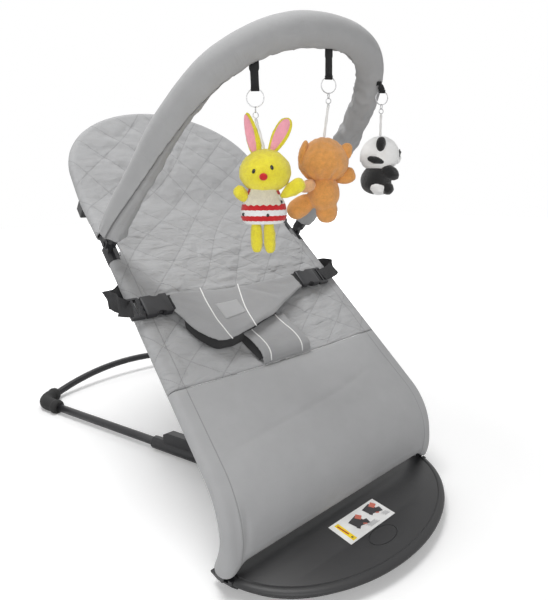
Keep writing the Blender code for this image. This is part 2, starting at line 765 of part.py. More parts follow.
def base_x(y):
    """Centre of a spreading base tube at some distance back."""
    return BASE_FRONT_X + (y - BASE_SPREAD_Y) * math.tan(BASE_SPREAD)


def corner_path():
    """The bend at a rear corner and the straight stretch after it (right side)."""
    knee = Vector((BASE_FRONT_X, BASE_SPREAD_Y, BASE_Z))
    corner = Vector((base_x(BASE_CORNER_Y), BASE_CORNER_Y, BASE_Z))
    after = Vector((0, 2 * REAR_BAR_Y - BASE_CORNER_Y, BASE_Z))
    bend = round_corner(knee, corner, after, BASE_CORNER_R, math.radians(18))
    lead = (after - corner).normalized()
    return bend + [bend[-1] + lead * (FOOT_REACH + GAP)]


REAR_BAR_STEPS = 6


def rear_bar_points():
    """Half of the rear bar, from the joint with the side tube to the middle (right side)."""
    bend = corner_path()
    along = (bend[0] - Vector((base_x(BASE_SPREAD_Y), BASE_SPREAD_Y, BASE_Z))).normalized()
    points = [bend[0] - along * TUBE_JOINT] + bend
    end = bend[-1]
    for k in range(1, REAR_BAR_STEPS + 1):
        left = 1 - k / REAR_BAR_STEPS
        y = end.y + (REAR_BAR_Y - end.y) * (1 - left ** 2)
        points.append(Vector((end.x * left, y, end.z + REAR_BAR_LIFT * (1 - left ** 2))))
    return points


def mirrored(points, side):
    return [Vector((p.x * side, p.y, p.z)) for p in points]


def base_tubes():
    """The two side tubes, the bowed rear bar and the rubber feet at its corners."""
    half = rear_bar_points()
    bend = corner_path()
    along = (bend[0] - half[0]).normalized()
    for word, side in (("left", -1), ("right", 1)):
        front = Vector((BASE_FRONT_X, BASE_FRONT_Y, BASE_Z))
        knee = Vector((BASE_FRONT_X, BASE_SPREAD_Y, BASE_Z))
        points = [front] + round_corner(front, knee, half[0], BASE_SPREAD_BEND) + [half[0] - along * GAP]
        put(f"base_tube_{word}", tube(mirrored(points, side), BASE_TUBE_R, 12), "black_tube")
    whole = half + mirrored(half[:-1], -1)[::-1]
    put("rear_bar", tube(whole, BASE_TUBE_R, 12), "black_tube")
    for word, side in (("left", -1), ("right", 1)):
        sleeve = [bend[0] - along * (TUBE_JOINT + FOOT_REACH)] + bend
        rubber = tube(mirrored(sleeve, side), FOOT_R, 12, BASE_TUBE_R + SLEEVE_EASE)
        foot = put(f"rear_foot_{word}", rubber, "rubber")
        half_width, front_y, rear_y, low_z = FOOT_CUT
        under = block((-half_width, front_y, low_z), (half_width, rear_y, BASE_Z - FOOT_R + FOOT_FLAT))
        cut(foot, guide(f"foot_flat_{word}", under))


def prop_foot_at(turn):
    """Where the prop's foot bar is (y, z) when the seat has folded down by some angle."""
    pivot = on_seat(0, PROP_S, -PROP_DROP)
    hinge = Vector((0, HINGE_Y, HINGE_Z))
    leg = Vector((0, PROP_FOOT[0], PROP_FOOT[1])) - pivot
    seat_turn = Matrix.Rotation(-turn, 3, "X")
    prop_turn = Matrix.Rotation(-turn * (1 + PROP_RATIO), 3, "X")
    foot = hinge + seat_turn @ (pivot - hinge) + prop_turn @ leg
    return foot.y, foot.z


def ratchet_rails():
    """A plastic sleeve on each base tube with a stepped block of notches on its top."""
    rear = Vector((base_x(RATCHET_REAR_Y), RATCHET_REAR_Y, BASE_Z))
    front = Vector((base_x(RATCHET_FRONT_Y), RATCHET_FRONT_Y, BASE_Z))
    for word, side in (("left", -1), ("right", 1)):
        ends = mirrored([front, rear], side)
        rail = put(f"ratchet_{word}", tube(ends, RATCHET_R, 12), "black_plastic")
        seat_z = PROP_FOOT[1] - SHOE_R - RUN_GAP
        clear = SHOE_R + 2 * RUN_GAP
        lowest = min(prop_foot_at(RECLINE * k / 40)[1] for k in range(30)) - clear
        foot_z = BASE_Z + RATCHET_R - RAMP_SUNK
        back = BASE_Z + RATCHET_R + RAMP_BACK_HIGH
        step_y = PROP_FOOT[0] + SHOE_R + RUN_GAP
        outline = [
            (RATCHET_FRONT_Y + RAMP_END, foot_z),
            (RAMP_REAR_Y, foot_z),
            (RAMP_REAR_Y, back - RAMP_CORNER[1]),
            (RAMP_REAR_Y - RAMP_CORNER[0], back),
            (step_y, back),
            (step_y, seat_z),
            (PROP_FOOT[0], seat_z),
        ]
        for turn in (2, 4, 6):
            y, z = prop_foot_at(math.radians(turn))
            outline.append((y, z - clear))
        for notch in NOTCH_STEPS:
            middle = PROP_FOOT[0] - notch
            outline.append((middle + SHOE_R, lowest))
            outline.append((middle + SHOE_R * 0.6, lowest - NOTCH_DEPTH * 0.6))
            outline.append((middle - SHOE_R * 0.6, lowest - NOTCH_DEPTH * 0.6))
            outline.append((middle - SHOE_R, lowest))
        outline.append((RATCHET_FRONT_Y + RAMP_END, lowest))
        rings = []
        for off in (-RAMP_WIDTH / 2, RAMP_WIDTH / 2):
            rings.append([Vector((side * (base_x(y) + off), y, z)) for y, z in outline])
        weld(rail, guide(f"ramp_{word}", skin(rings)))
        lead = (ends[1] - ends[0]).normalized() * CUT_OVER
        bore = rod(ends[0] - lead, ends[1] + lead, BASE_TUBE_R + SLEEVE_EASE)
        cut(rail, guide(f"ratchet_bore_{word}", bore))


# seat frame

def seat_rails(seat):
    """The two side rails, each with the barrel that turns on its hinge pin."""
    rows = [0.0] + KNEE_ROWS + [SHOULDER_S] + NECK_ROWS + [HOOP_JOINT_S - GAP]
    for word, side in (("left", -1), ("right", 1)):
        points = [on_seat(side * rail_x(s), s, 0) for s in rows]
        rail = put(f"seat_rail_{word}", tube(points, SEAT_TUBE_R, 10), "black_tube", seat)
        half = HINGE_BARREL_LENGTH / 2
        start = (side * RAIL_X_FOOT - half, HINGE_Y, HINGE_Z)
        end = (side * RAIL_X_FOOT + half, HINGE_Y, HINGE_Z)
        for k, (near, far) in enumerate(((-CUT_OVER - half, -half), (half, half + CUT_OVER))):
            flat = block((near, -2 * CUT_OVER, -CUT_OVER), (far, FLAT_END, CUT_OVER), 0,
                         seat_place(side * RAIL_X_FOOT, 0, 0))
            cut(rail, guide(f"rail_flat_{word}_{k}", flat))
        weld(rail, guide(f"rail_barrel_{word}", rod(start, end, HINGE_BARREL_R, 14)))
        start = (start[0] - CUT_OVER, HINGE_Y, HINGE_Z)
        end = (end[0] + CUT_OVER, HINGE_Y, HINGE_Z)
        cut(rail, guide(f"rail_bore_{word}", rod(start, end, HINGE_PIN_R + PIN_EASE)))


def head_hoop(seat):
    points = [on_seat(RAIL_X_SHOULDER, HOOP_JOINT_S, 0)]
    for k in range(HOOP_STEPS + 1):
        x, s, _ = hoop_edge(math.pi * k / HOOP_STEPS)
        points.append(on_seat(x, s, 0))
    points.append(on_seat(-RAIL_X_SHOULDER, HOOP_JOINT_S, 0))
    put("head_hoop", tube(points, SEAT_TUBE_R, 10), "black_tube", seat)


SLEEVE_TURNS = [math.radians(a) for a in (45, 0, -45, -90)]


def sleeve_points(x, s, out):
    """The cloth round one place of the frame's edge, from its top round to the hem."""
    centre, along, facing = seat_frame(s)
    middle = centre + Vector((x, 0, 0))
    outward = Vector((1, 0, 0)) * out.x + along * out.y
    points = [middle + (outward * math.cos(a) + facing * math.sin(a)) * SLEEVE_R for a in SLEEVE_TURNS]
    points.append(middle - outward * HEM - facing * SLEEVE_R)
    return points


CLOTH_COLUMNS = 6
HOOP_STEPS = 18                 # sides of the half hoop, which the cloth follows


def cloth_sheet(rows, top=False):
    """The cloth as an open sheet: rows across the seat, with a sleeve round each edge."""
    bm = bmesh.new()
    grid = []
    edges = []
    for s in rows:
        half = rail_x(s)
        columns = [half * (2 * k / CLOTH_COLUMNS - 1) for k in range(CLOTH_COLUMNS + 1)]
        grid.append([bm.verts.new(on_seat(x, s, cloth_h(x, s))) for x in columns])
        edges.append([(-half, s, Vector((-1, 0))), (half, s, Vector((1, 0)))])
    if top:
        for k in range(1, HOOP_STEPS // 3):
            x_edge, s, out = hoop_edge(math.pi * k / HOOP_STEPS)
            columns = [x_edge * (2 * k / CLOTH_COLUMNS - 1) for k in range(CLOTH_COLUMNS + 1)]
            heights = [SLEEVE_R - SAG_LEFT_AT_HEAD * (1 - (x / x_edge) ** 2) for x in columns]
            grid.append([bm.verts.new(on_seat(x, s, h)) for x, h in zip(columns, heights)])
            edges.append([(-x_edge, s, Vector((-out.x, out.y))), (x_edge, s, out)])
    for low, high in zip(grid, grid[1:]):
        for i in range(CLOTH_COLUMNS):
            bm.faces.new((low[i], low[i + 1], high[i + 1], high[i]))
    left = [(row[0], edge[0]) for row, edge in zip(grid, edges)]
    right = [(row[-1], edge[1]) for row, edge in zip(grid, edges)]
    border = left
    if top:
        crown = []
        for k in range(CLOTH_COLUMNS + 1):
            angle = math.pi * 2 / 3 - math.pi / 3 * k / CLOTH_COLUMNS
            x, s, out = hoop_edge(angle)
            crown.append((bm.verts.new(on_seat(x, s, SLEEVE_R)), (x, s, out)))
        for i in range(CLOTH_COLUMNS):
            bm.faces.new((grid[-1][i], grid[-1][i + 1], crown[i + 1][0], crown[i][0]))
        border = left + crown + right[::-1]
        runs = [border]
    else:
        runs = [left, right[::-1]]
    for run in runs:
        strips = []
        for vert, (x, s, out) in run:
            strips.append([vert] + [bm.verts.new(p) for p in sleeve_points(x, s, out)])
        for one, two in zip(strips, strips[1:]):
            for i in range(len(one) - 1):
                bm.faces.new((one[i], one[i + 1], two[i + 1], two[i]))
    return bm


def seat_cloth(seat):
    """The plain lower cloth and the quilted upper cloth, which meet at a seam."""
    lower_rows = [FABRIC_FOOT_S, *KNEE_ROWS[1:], *LOWER_ROWS, SEAM_S - GAP / 2]
    upper_rows = [SEAM_S + GAP / 2, *UPPER_ROWS, SHOULDER_S, SHOULDER_ROW, *NECK_ROWS, HOOP_S]
    lower = put("seat_cloth_lower", cloth_sheet(lower_rows), "plain_cloth", seat)
    upper = put("seat_cloth_upper", cloth_sheet(upper_rows, top=True), "quilted_cloth", seat)
    for cloth in (lower, upper):
        thicken = cloth.modifiers.new("thickness", "SOLIDIFY")
        thicken.thickness = FABRIC
        thicken.offset = 0.0
        thicken.use_even_offset = True
    for word, side in (("left", -1), ("right", 1)):
        middle = (WINDOW_S[0] + WINDOW_S[1]) / 2
        half = (WINDOW_S[1] - WINDOW_S[0]) / 2
        x = rail_x(middle)
        ends = sorted((side * -WINDOW_IN, side * WINDOW_IN))
        window = block((ends[0], -half, -WINDOW_DEEP), (ends[1], half, WINDOW_DEEP), 0,
                       seat_place(side * x, middle, 0))
        cut(upper, guide(f"clip_window_{word}", window))
        reach = HANGER_LENGTH / 2 + HANGER_SLOT
        inner = rail_x(PROP_S) - HEM - 2 * HANGER_SLOT
        outer = HANGER_X[1] + HANGER_SLOT
        ends = sorted((side * inner, side * outer))
        slot = block((ends[0], -reach, HANGER_SLOT_H[0]), (ends[1], reach, HANGER_SLOT_H[1]), 0,
                     seat_place(0, PROP_S, 0))
        cut(upper, guide(f"hanger_slot_{word}", slot))


# prop

def prop_pivot():
    return on_seat(0, PROP_S, -PROP_DROP)


def prop_hangers(seat):
    """A lug under each rail with the pin that the prop swings on."""
    pivot = prop_pivot()
    top = -(SEAT_TUBE_R + GAP)
    low = -(PROP_DROP + HANGER_FOOT)
    half = HANGER_LENGTH / 2
    for word, side in (("left", -1), ("right", 1)):
        ends = sorted((side * HANGER_X[0], side * HANGER_X[1]))
        lug = block((ends[0], -half, low), (ends[1], half, top), HANGER_BEVEL, seat_place(0, PROP_S, 0))
        hanger = put(f"prop_hanger_{word}", lug, "black_plastic", seat)
        inner = PROP_TOP_X - PROP_EYE_LENGTH / 2 - HANGER_PIN_PAST
        outer = HANGER_X[0] + HANGER_PIN_SUNK
        pin = rod((side * inner, pivot.y, pivot.z), (side * outer, pivot.y, pivot.z), PROP_PIN_R)
        weld(hanger, guide(f"hanger_pin_{word}", pin))


def prop_frame(prop):
    """The U-shaped prop: two legs with eyes at the top, and a foot bar."""
    pivot = prop_pivot()
    tops = [Vector((side * PROP_TOP_X, pivot.y, pivot.z)) for side in (-1, 1)]
    feet = [Vector((side * PROP_FOOT_X, PROP_FOOT[0], PROP_FOOT[1])) for side in (-1, 1)]
    points = [tops[0]]
    points += round_corner(tops[0], feet[0], feet[1], PROP_FOOT_BEND, math.radians(14))
    points += round_corner(feet[0], feet[1], tops[1], PROP_FOOT_BEND, math.radians(14))
    points.append(tops[1])
    frame = put("prop_frame", tube(points, PROP_R, 10), "black_tube", prop)
    for word, side in (("left", -1), ("right", 1)):
        half = PROP_EYE_LENGTH / 2
        start = (side * PROP_TOP_X - half, pivot.y, pivot.z)
        end = (side * PROP_TOP_X + half, pivot.y, pivot.z)
        weld(frame, guide(f"prop_eye_{word}", rod(start, end, PROP_EYE_R, 14)))
        start = (start[0] - CUT_OVER, pivot.y, pivot.z)
        end = (end[0] + CUT_OVER, pivot.y, pivot.z)
        cut(frame, guide(f"prop_bore_{word}", rod(start, end, PROP_PIN_R + PIN_EASE)))


def prop_shoe(prop):
    """The plastic sleeve on the foot bar, which lies in the notches."""
    ends = [(side * SHOE_REACH, PROP_FOOT[0], PROP_FOOT[1]) for side in (-1, 1)]
    return put("prop_shoe", tube(ends, SHOE_R, 12, PROP_R + SHOE_EASE), "black_plastic", prop)


# toy bar

def bar_pivot():
    return on_seat(0, BAR_PIVOT_S, BAR_PIVOT_H)


def on_bar(x, up, off=0.0):
    """A point in the plane of the arch: across, up from the pivot, and out of the plane."""
    pivot = bar_pivot()
    rise = Vector((0, math.cos(BAR_ANGLE), math.sin(BAR_ANGLE)))
    out = Vector((0, -math.sin(BAR_ANGLE), math.cos(BAR_ANGLE)))
    return pivot + Vector((x, 0, 0)) + rise * up + out * off


def arch_half():
    """Right half of the arch's centre line in its plane, from the pivot to the top: x and height."""
    foot = Vector((BAR_FOOT_X, 0, 0))
    corner = Vector((BAR_TOP_X, BAR_HEIGHT, 0))
    far = Vector((-BAR_TOP_X, BAR_HEIGHT, 0))
    return foot, round_corner(foot, corner, far, BAR_BEND, math.radians(13))


def arch_points(start):
    """Centre line of the arch from one leg to the other, beginning some way up the legs."""
    foot, bend = arch_half()
    lead = (bend[0] - foot).normalized()
    run = (bend[0] - foot).length
    half = [foot + lead * start, foot + lead * (start + BAR_PAD_TAPER)]
    count = 2
    for k in range(1, count):
        half.append(foot + lead * (start + BAR_PAD_TAPER + (run - start - BAR_PAD_TAPER) * k / count))
    half += bend
    flat = [(p.x, p.y) for p in half]
    flat += [(-x, y) for x, y in reversed(flat)]
    return [on_bar(x, y) for x, y in flat]


def arch_at(x):
    """Height and direction of the arch's centre line at some place across."""
    foot, bend = arch_half()
    line = [foot] + bend + [Vector((0.0, BAR_HEIGHT, 0))]
    want = abs(x)
    for one, two in zip(line, line[1:]):
        if two.x <= want <= one.x:
            share = (one.x - want) / max(one.x - two.x, 1e-9)
            up = one.y + (two.y - one.y) * share
            lead = (two - one).normalized()
            sign = 1 if x < 0 else -1
            return up, (on_bar(-sign * lead.x, lead.y) - on_bar(0, 0)).normalized()
    return BAR_HEIGHT, Vector((1, 0, 0))


def toy_bar(bar):
    rod_points = arch_points(ROD_START)
    put("toy_bar_rod", tube(rod_points, BAR_ROD_R, 8), "black_plastic", bar)
    points = arch_points(BAR_PAD_START)
    radii = [BAR_PAD_END_R] + [BAR_PAD_R] * (len(points) - 2) + [BAR_PAD_END_R]
    pad = tube(points, radii, PAD_SIDES, BAR_ROD_R + PAD_EASE)
    put("toy_bar_pad", pad, "bar_cloth", bar, sharp=80)


def toy_bar_knuckles(bar):
    """The end fitting of each leg: a fork with a screw boss, and the socket of the rod."""
    pivot = bar_pivot()
    foot, bend = arch_half()
    lead = (bend[0] - foot).normalized()
    for word, side in (("left", -1), ("right", 1)):
        low = on_bar(side * (foot.x + lead.x * KNUCKLE_START), lead.y * KNUCKLE_START)
        high = on_bar(side * (foot.x + lead.x * KNUCKLE_TOP), lead.y * KNUCKLE_TOP)
        barrel = tube([low, high], KNUCKLE_BARREL_R, 12)
        knuckle = put(f"toy_bar_knuckle_{word}", barrel, "black_plastic", bar)
        half = CLIP_LUG / 2 + RUN_GAP
        outline = []
        for step in range(9):
            angle = math.pi * (step / 8) + math.pi
            outline.append((KNUCKLE_R * math.cos(angle), KNUCKLE_R * math.sin(angle)))
        outline += [(KNUCKLE_R, KNUCKLE_FORK_TOP), (-KNUCKLE_R, KNUCKLE_FORK_TOP)]
        place = Matrix.Translation(pivot) @ Matrix.Rotation(BAR_ANGLE - math.pi / 2, 4, "X")
        for k, start in enumerate((-half - KNUCKLE_CHEEK, half)):
            ends = sorted((side * (BAR_FOOT_X + start), side * (BAR_FOOT_X + start + KNUCKLE_CHEEK)))
            weld(knuckle, guide(f"fork_{word}_{k}", prism(outline, *ends, place)))
        boss_start = BAR_FOOT_X - half - KNUCKLE_CHEEK + PIN_SUNK
        boss_end = BAR_FOOT_X + half + KNUCKLE_CHEEK + BOSS_HEIGHT
        pin_ends = [(side * x, pivot.y, pivot.z) for x in (boss_start, boss_end - PIN_SUNK)]
        pin = rod(*pin_ends, PIVOT_PIN_R)
        start = boss_end - BOSS_HEIGHT - 2 * PIN_SUNK
        boss = rod((side * start, pivot.y, pivot.z), (side * boss_end, pivot.y, pivot.z), BOSS_R, 14)
        weld(knuckle, guide(f"bar_pin_{word}", pin), guide(f"bar_boss_{word}", boss))
        hole = ROD_START - GAP
        start = on_bar(side * (foot.x + lead.x * hole), lead.y * hole)
        end = on_bar(side * (foot.x + lead.x * ROD_SOCKET_END), lead.y * ROD_SOCKET_END)
        cut(knuckle, guide(f"rod_socket_{word}", rod(start, end, BAR_ROD_R + SLEEVE_EASE, 10)))


def toy_bar_clips(seat):
    """The spring clip on each rail, with the lug that the toy bar turns on."""
    pivot = bar_pivot()
    for word, side in (("left", -1), ("right", 1)):
        half = CLIP_LENGTH / 2
        ends = [on_seat(side * rail_x(CLIP_S + d), CLIP_S + d, 0) for d in (-half, half)]
        clip = put(f"toy_bar_clip_{word}", tube(ends, CLIP_R, 14), "black_plastic", seat)
        outline = []
        for step in range(7):
            angle = math.pi * step / 6
            outline.append((CLIP_LUG_R * math.cos(angle), CLIP_LUG_R * math.sin(angle)))
        drop = -(BAR_PIVOT_H - SEAT_TUBE_R - CLIP_LUG_SUNK)
        outline += [(-CLIP_LUG_R - CLIP_LUG_FLARE, drop), (CLIP_LUG_R + CLIP_LUG_FLARE, drop)]
        place = Matrix.Translation(pivot) @ Matrix.Rotation(SEAT_ANGLE, 4, "X")
        span = sorted((side * (BAR_FOOT_X - CLIP_LUG / 2), side * (BAR_FOOT_X + CLIP_LUG / 2)))
        weld(clip, guide(f"clip_lug_{word}", prism(outline, *span, place)))
        lead = (ends[1] - ends[0]).normalized() * CUT_OVER
        bore = rod(ends[0] - lead, ends[1] + lead, SEAT_TUBE_R + BORE_EASE, 10)
        cut(clip, guide(f"clip_bore_{word}", bore))
        slot_x = sorted((-side * RUN_GAP, -side * (CLIP_R + CUT_OVER)))
        near = (slot_x[0], -half - CUT_OVER, CLIP_MOUTH[0])
        far = (slot_x[1], half + CUT_OVER, CLIP_MOUTH[1])
        slot = block(near, far, 0, seat_place(side * rail_x(CLIP_S), CLIP_S, 0))
        reach = CLIP_LUG / 2 + CUT_OVER
        eye_ends = [(side * (BAR_FOOT_X + off), pivot.y, pivot.z) for off in (-reach, reach)]
        eye = rod(*eye_ends, PIVOT_PIN_R + PIN_EASE)
        cut(clip, guide(f"clip_slot_{word}", slot), guide(f"clip_eye_{word}", eye))


# harness

def seat_patch(rows):
    """An open sheet over the seat through rows of (x, s, h) points."""
    bm = bmesh.new()
    grid = [[bm.verts.new(on_seat(*point)) for point in row] for row in rows]
    for low, high in zip(grid, grid[1:]):
        for i in range(len(low) - 1):
            bm.faces.new((low[i], low[i + 1], high[i + 1], high[i]))
    mesh = bpy.data.meshes.new("patch")
    bmesh.ops.recalc_face_normals(bm, faces=bm.faces)
    bm.to_mesh(mesh)
    bm.free()
    return mesh


def padded_sheet(name, rows, thick, material, parent):
    """A soft piece of even thickness about a sheet over the seat."""
    mesh = seat_patch(rows)
    mesh.materials.append(finish(material))
    mesh.shade_smooth()
    mesh.set_sharp_from_angle(angle=math.radians(50))
    obj = bpy.data.objects.new(name, mesh)
    bpy.context.scene.collection.objects.link(obj)
    obj.parent = parent
    obj.matrix_parent_inverse = parent.matrix_world.inverted()
    thicken = obj.modifiers.new("thickness", "SOLIDIFY")
    thicken.thickness = thick
    thicken.offset = 0.0
    thicken.use_even_offset = True
    return obj


def harness(seat):
    """The waist flap between the buckles and the crotch band below it."""
    columns = []
    for x, low, high, h in FLAP_COLUMNS:
        columns.append([(x, low + (high - low) * k / 4, h) for k in range(5)])
    padded_sheet("harness_flap", columns, FLAP_THICK, "harness_cloth", seat)
    rows = []
    for s, left, right, under in CROTCH_ROWS:
        row = []
        for k in range(5):
            x = left + (right - left) * k / 4
            row.append((x, s, cloth_h(x, s) + FABRIC / 2 + under + CROTCH_THICK / 2))
        rows.append(row)
    padded_sheet("crotch_band", rows, CROTCH_THICK, "harness_cloth", seat)


def buckle_socket(word, side, seat):
    """The hollow half of a buckle, sewn to the flap, with a window in each side."""
    length, width, height = SOCKET
    inner = abs(BUCKLE_X[word])
    place = seat_place(0, BUCKLE_S, BUCKLE_H)
    ends = sorted((side * inner, side * (inner + length)))
    body = block((ends[0], -width / 2, -height / 2), (ends[1], width / 2, height / 2), SOCKET_BEVEL, place)
    socket = put(f"buckle_socket_{word}", body, "black_plastic", seat)
    ends = sorted((side * (inner + SOCKET_BLIND), side * (inner + length + CUT_OVER)))
    hollow = block((ends[0], -width / 2 + SOCKET_SIDE, -height / 2 + SOCKET_WALL),
                   (ends[1], width / 2 - SOCKET_SIDE, height / 2 - SOCKET_WALL), 0, place)
    cut(socket, guide(f"socket_hollow_{word}", hollow))
    ends = sorted((side * (inner + SOCKET_WINDOW[0]), side * (inner + SOCKET_WINDOW[1])))
    half = height / 2 - SOCKET_WALL - SOCKET_SILL
    window = block((ends[0], -width / 2 - CUT_OVER, -half), (ends[1], width / 2 + CUT_OVER, half), 0, place)
    cut(socket, guide(f"socket_window_{word}", window))


def buckle_plug(word, side, carrier_empty):
    """The pronged half of a buckle, with the ladder bars that hold the webbing."""
    length, width, height = LADDER
    start = abs(BUCKLE_X[word]) + SOCKET[0] + RUN_GAP
    place = seat_place(0, BUCKLE_S, BUCKLE_H)
    ends = sorted((side * start, side * (start + length)))
    body = block((ends[0], -width / 2, -height / 2), (ends[1], width / 2, height / 2), LADDER_BEVEL, place)
    plug = put(f"buckle_plug_{word}", body, "black_plastic", carrier_empty)
    for k in range(2):
        near = start + length - LADDER_BAR - LADDER_SLOT - k * (LADDER_BAR + LADDER_SLOT)
        ends = sorted((side * near, side * (near + LADDER_SLOT)))
        half = WEBBING_WIDTH / 2 + LADDER_EASE
        slot = block((ends[0], -half, -CUT_OVER), (ends[1], half, CUT_OVER), 0, place)
        cut(plug, guide(f"ladder_slot_{word}_{k}", slot))
    thick = SOCKET[2] / 2 - SOCKET_WALL - RUN_GAP
    reach = SOCKET[1] / 2 - SOCKET_SIDE - RUN_GAP
    ends = sorted((side * (start - TONGUE_LENGTH), side * (start + PRONG_ROOT)))
    prongs = [(middle - PRONG_WIDTH / 2, middle + PRONG_WIDTH / 2) for middle in
              (PRONG_WIDTH / 2 - reach, 0.0, reach - PRONG_WIDTH / 2)]
    for k, (low, high) in enumerate(prongs):
        prong = block((ends[0], low, -thick), (ends[1], high, thick), PRONG_BEVEL, place)
        weld(plug, guide(f"prong_{word}_{k}", prong))


def side_webbing(word, side, seat):
    """The strap from the buckle over the rail's edge and back under the seat."""
    start = abs(BUCKLE_X[word]) + SOCKET[0] + RUN_GAP + LADDER[0]
    rail = rail_x(BUCKLE_S)
    edge = rail + SLEEVE_R + FABRIC / 2
    bulge = max(edge + WEBBING_BULGE, start + WEBBING_LEAST)
    out = {
        "lock": start + GAP + WEBBING_THICK / 2,
        "halfway": (start + bulge) / 2,
        "bulge": bulge,
        "edge": edge,
        "tube": rail,
        "hem": rail - HEM,
    }
    up = {"buckle": BUCKLE_H, "rail": 0.0, "under": -(SLEEVE_R + FABRIC / 2 + WEBBING_THICK / 2 + GAP)}
    route = [(out[a] + x, up[b] + h, shift) for a, x, b, h, shift in WEBBING_ROUTE]
    bm = bmesh.new()
    rows = []
    for x, h, shift in route:
        row = []
        for end in (-1, 1):
            s = BUCKLE_S + shift + end * WEBBING_WIDTH / 2
            row.append(bm.verts.new(on_seat(side * x, s, h)))
        rows.append(row)
    for low_row, high_row in zip(rows, rows[1:]):
        bm.faces.new((low_row[0], low_row[1], high_row[1], high_row[0]))
    bmesh.ops.recalc_face_normals(bm, faces=bm.faces)
    mesh = bpy.data.meshes.new(f"side_webbing_{word}")
    bm.to_mesh(mesh)
    bm.free()
    mesh.materials.append(finish("webbing"))
    mesh.shade_smooth()
    mesh.set_sharp_from_angle(angle=math.radians(50))
    strap = bpy.data.objects.new(f"side_webbing_{word}", mesh)
    bpy.context.scene.collection.objects.link(strap)
    strap.parent = seat
    strap.matrix_parent_inverse = seat.matrix_world.inverted()
    thicken = strap.modifiers.new("thickness", "SOLIDIFY")
    thicken.thickness = WEBBING_THICK
    thicken.offset = 0.0
    thicken.use_even_offset = True


# hanging toys

def toy_axes(toy):
    """Directions of a toy's ring: across its face, and out of it."""
    turn = math.radians(toy["turn"])
    across = Vector((math.cos(turn), math.sin(turn), 0))
    out = Vector((math.sin(turn), -math.cos(turn), 0))
    return across, out


def strap_place(toy):
    """The arch's centre where a toy's strap is sewn on, and the arch's direction there."""
    up, lead = arch_at(toy["strap_x"])
    return on_bar(toy["strap_x"], up), lead


def hang_point(toy):
    """The top of a toy's ring."""
    return strap_place(toy)[0] + Vector(toy["hang"])


def toy_strap(name, toy, bar):
    """A webbing tab sewn on under the padding, with the eye that a toy's ring hangs in."""
    centre, lead = strap_place(toy)
    hang = hang_point(toy)
    down = (hang - centre - lead * (hang - centre).dot(lead)).normalized()
    side = lead.cross(down)
    inner = BAR_PAD_R
    half = toy["width"] / 2
    rings = []
    for k in range(STRAP_WRAP_STEPS + 1):
        angle = STRAP_WRAP * (2 * k / STRAP_WRAP_STEPS - 1)
        out = down * math.cos(angle) + side * math.sin(angle)
        ring = []
        for radius, end in ((inner, -1), (inner, 1), (inner + STRAP_THICK, 1), (inner + STRAP_THICK, -1)):
            ring.append(centre + out * radius + lead * end * half)
        rings.append(ring)
    strap = put(f"{name}_strap", skin(rings), "webbing", bar)
    across, _ = toy_axes(toy)
    foot = centre + down * (inner + STRAP_THICK / 2)
    head = hang - (hang - foot).normalized() * STRAP_EYE
    sections = []
    for point, along in ((foot, lead), (head, across)):
        run = (head - foot).normalized()
        breadth = (along - run * along.dot(run)).normalized()
        if breadth.dot(across) < 0:
            breadth = -breadth
        face = breadth.cross(run)
        corners = []
        for a, b in ((-1, -1), (1, -1), (1, 1), (-1, 1)):
            corners.append(point + breadth * a * toy["width"] / 2.1 + face * b * STRAP_THICK / 2)
        sections.append(corners)
    weld(strap, guide(f"{name}_strap_tab", skin(sections)))
    middle = hang - Vector((0, 0, STRAP_EYE_DROP))
    reach = across * toy["width"] / 2
    eye_wall = STRAP_EYE + STRAP_THICK * 0.8
    weld(strap, guide(f"{name}_strap_eye", rod(middle - reach, middle + reach, eye_wall, 10)))
    cut(strap, guide(f"{name}_strap_bore", rod(middle - reach * 3, middle + reach * 3, STRAP_EYE, 10)))
    padding = tube(arch_points(BAR_PAD_START), BAR_PAD_R + GAP, PAD_SIDES)
    cut(strap, guide(f"{name}_padding_room", padding))


def toy_ring(name, toy, holder):
    """The split ring with the two small chain links under it."""
    across, out = toy_axes(toy)
    down = Vector((0, 0, -1))
    radius = toy["ring_r"]
    centre = hang_point(toy) + down * radius
    ring = put(f"{name}_ring", ring_torus(centre, across, down, radius, RING_WIRE), "steel", holder)
    for step in range(2):
        place = centre + down * (chain_drop(toy) + step * CHAIN_PITCH)
        sides = (out, down) if step == 0 else (across, down)
        weld(ring, guide(f"{name}_link_{step}", ring_torus(place, *sides, CHAIN_R, CHAIN_WIRE, 10, 6)))
    return ring


def chain_drop(toy):
    """From the ring's centre down to the first link's centre."""
    return toy["ring_r"] + CHAIN_R - CHAIN_WIRE * 0.8


def chain_foot(toy):
    """The lowest point of a toy's chain."""
    drop = toy["ring_r"] + chain_drop(toy) + CHAIN_PITCH + CHAIN_R + CHAIN_WIRE
    return hang_point(toy) - Vector((0, 0, drop))


def blob(centre, radii, axes, taper=0.0, sides=12, rows=7):
    """A stuffed shape: an ellipsoid on three directions, fuller at its low end when taper is over 0."""
    across, depth, up = axes
    rings = []
    for k in range(rows + 1):
        angle = math.pi * (0.08 + 0.84 * k / rows)
        level = -math.cos(angle)
        girth = math.sin(angle) * (1 - taper * level)
        ring = []
        for j in range(sides):
            turn = 2 * math.pi * j / sides
            point = across * math.cos(turn) * radii[0] * girth + depth * math.sin(turn) * radii[1] * girth
            ring.append(centre + point + up * level * radii[2])
        rings.append(ring)
    return skin(rings)


def tilted(across, depth, up, lean, swing=0.0):
    """Directions turned by lean (low end to the right), then by swing (low end forwards), in degrees."""
    roll = Matrix.Rotation(math.radians(lean), 3, depth)
    pitch = Matrix.Rotation(math.radians(-swing), 3, across)
    turn = pitch @ roll
    return turn @ across, turn @ depth, turn @ up


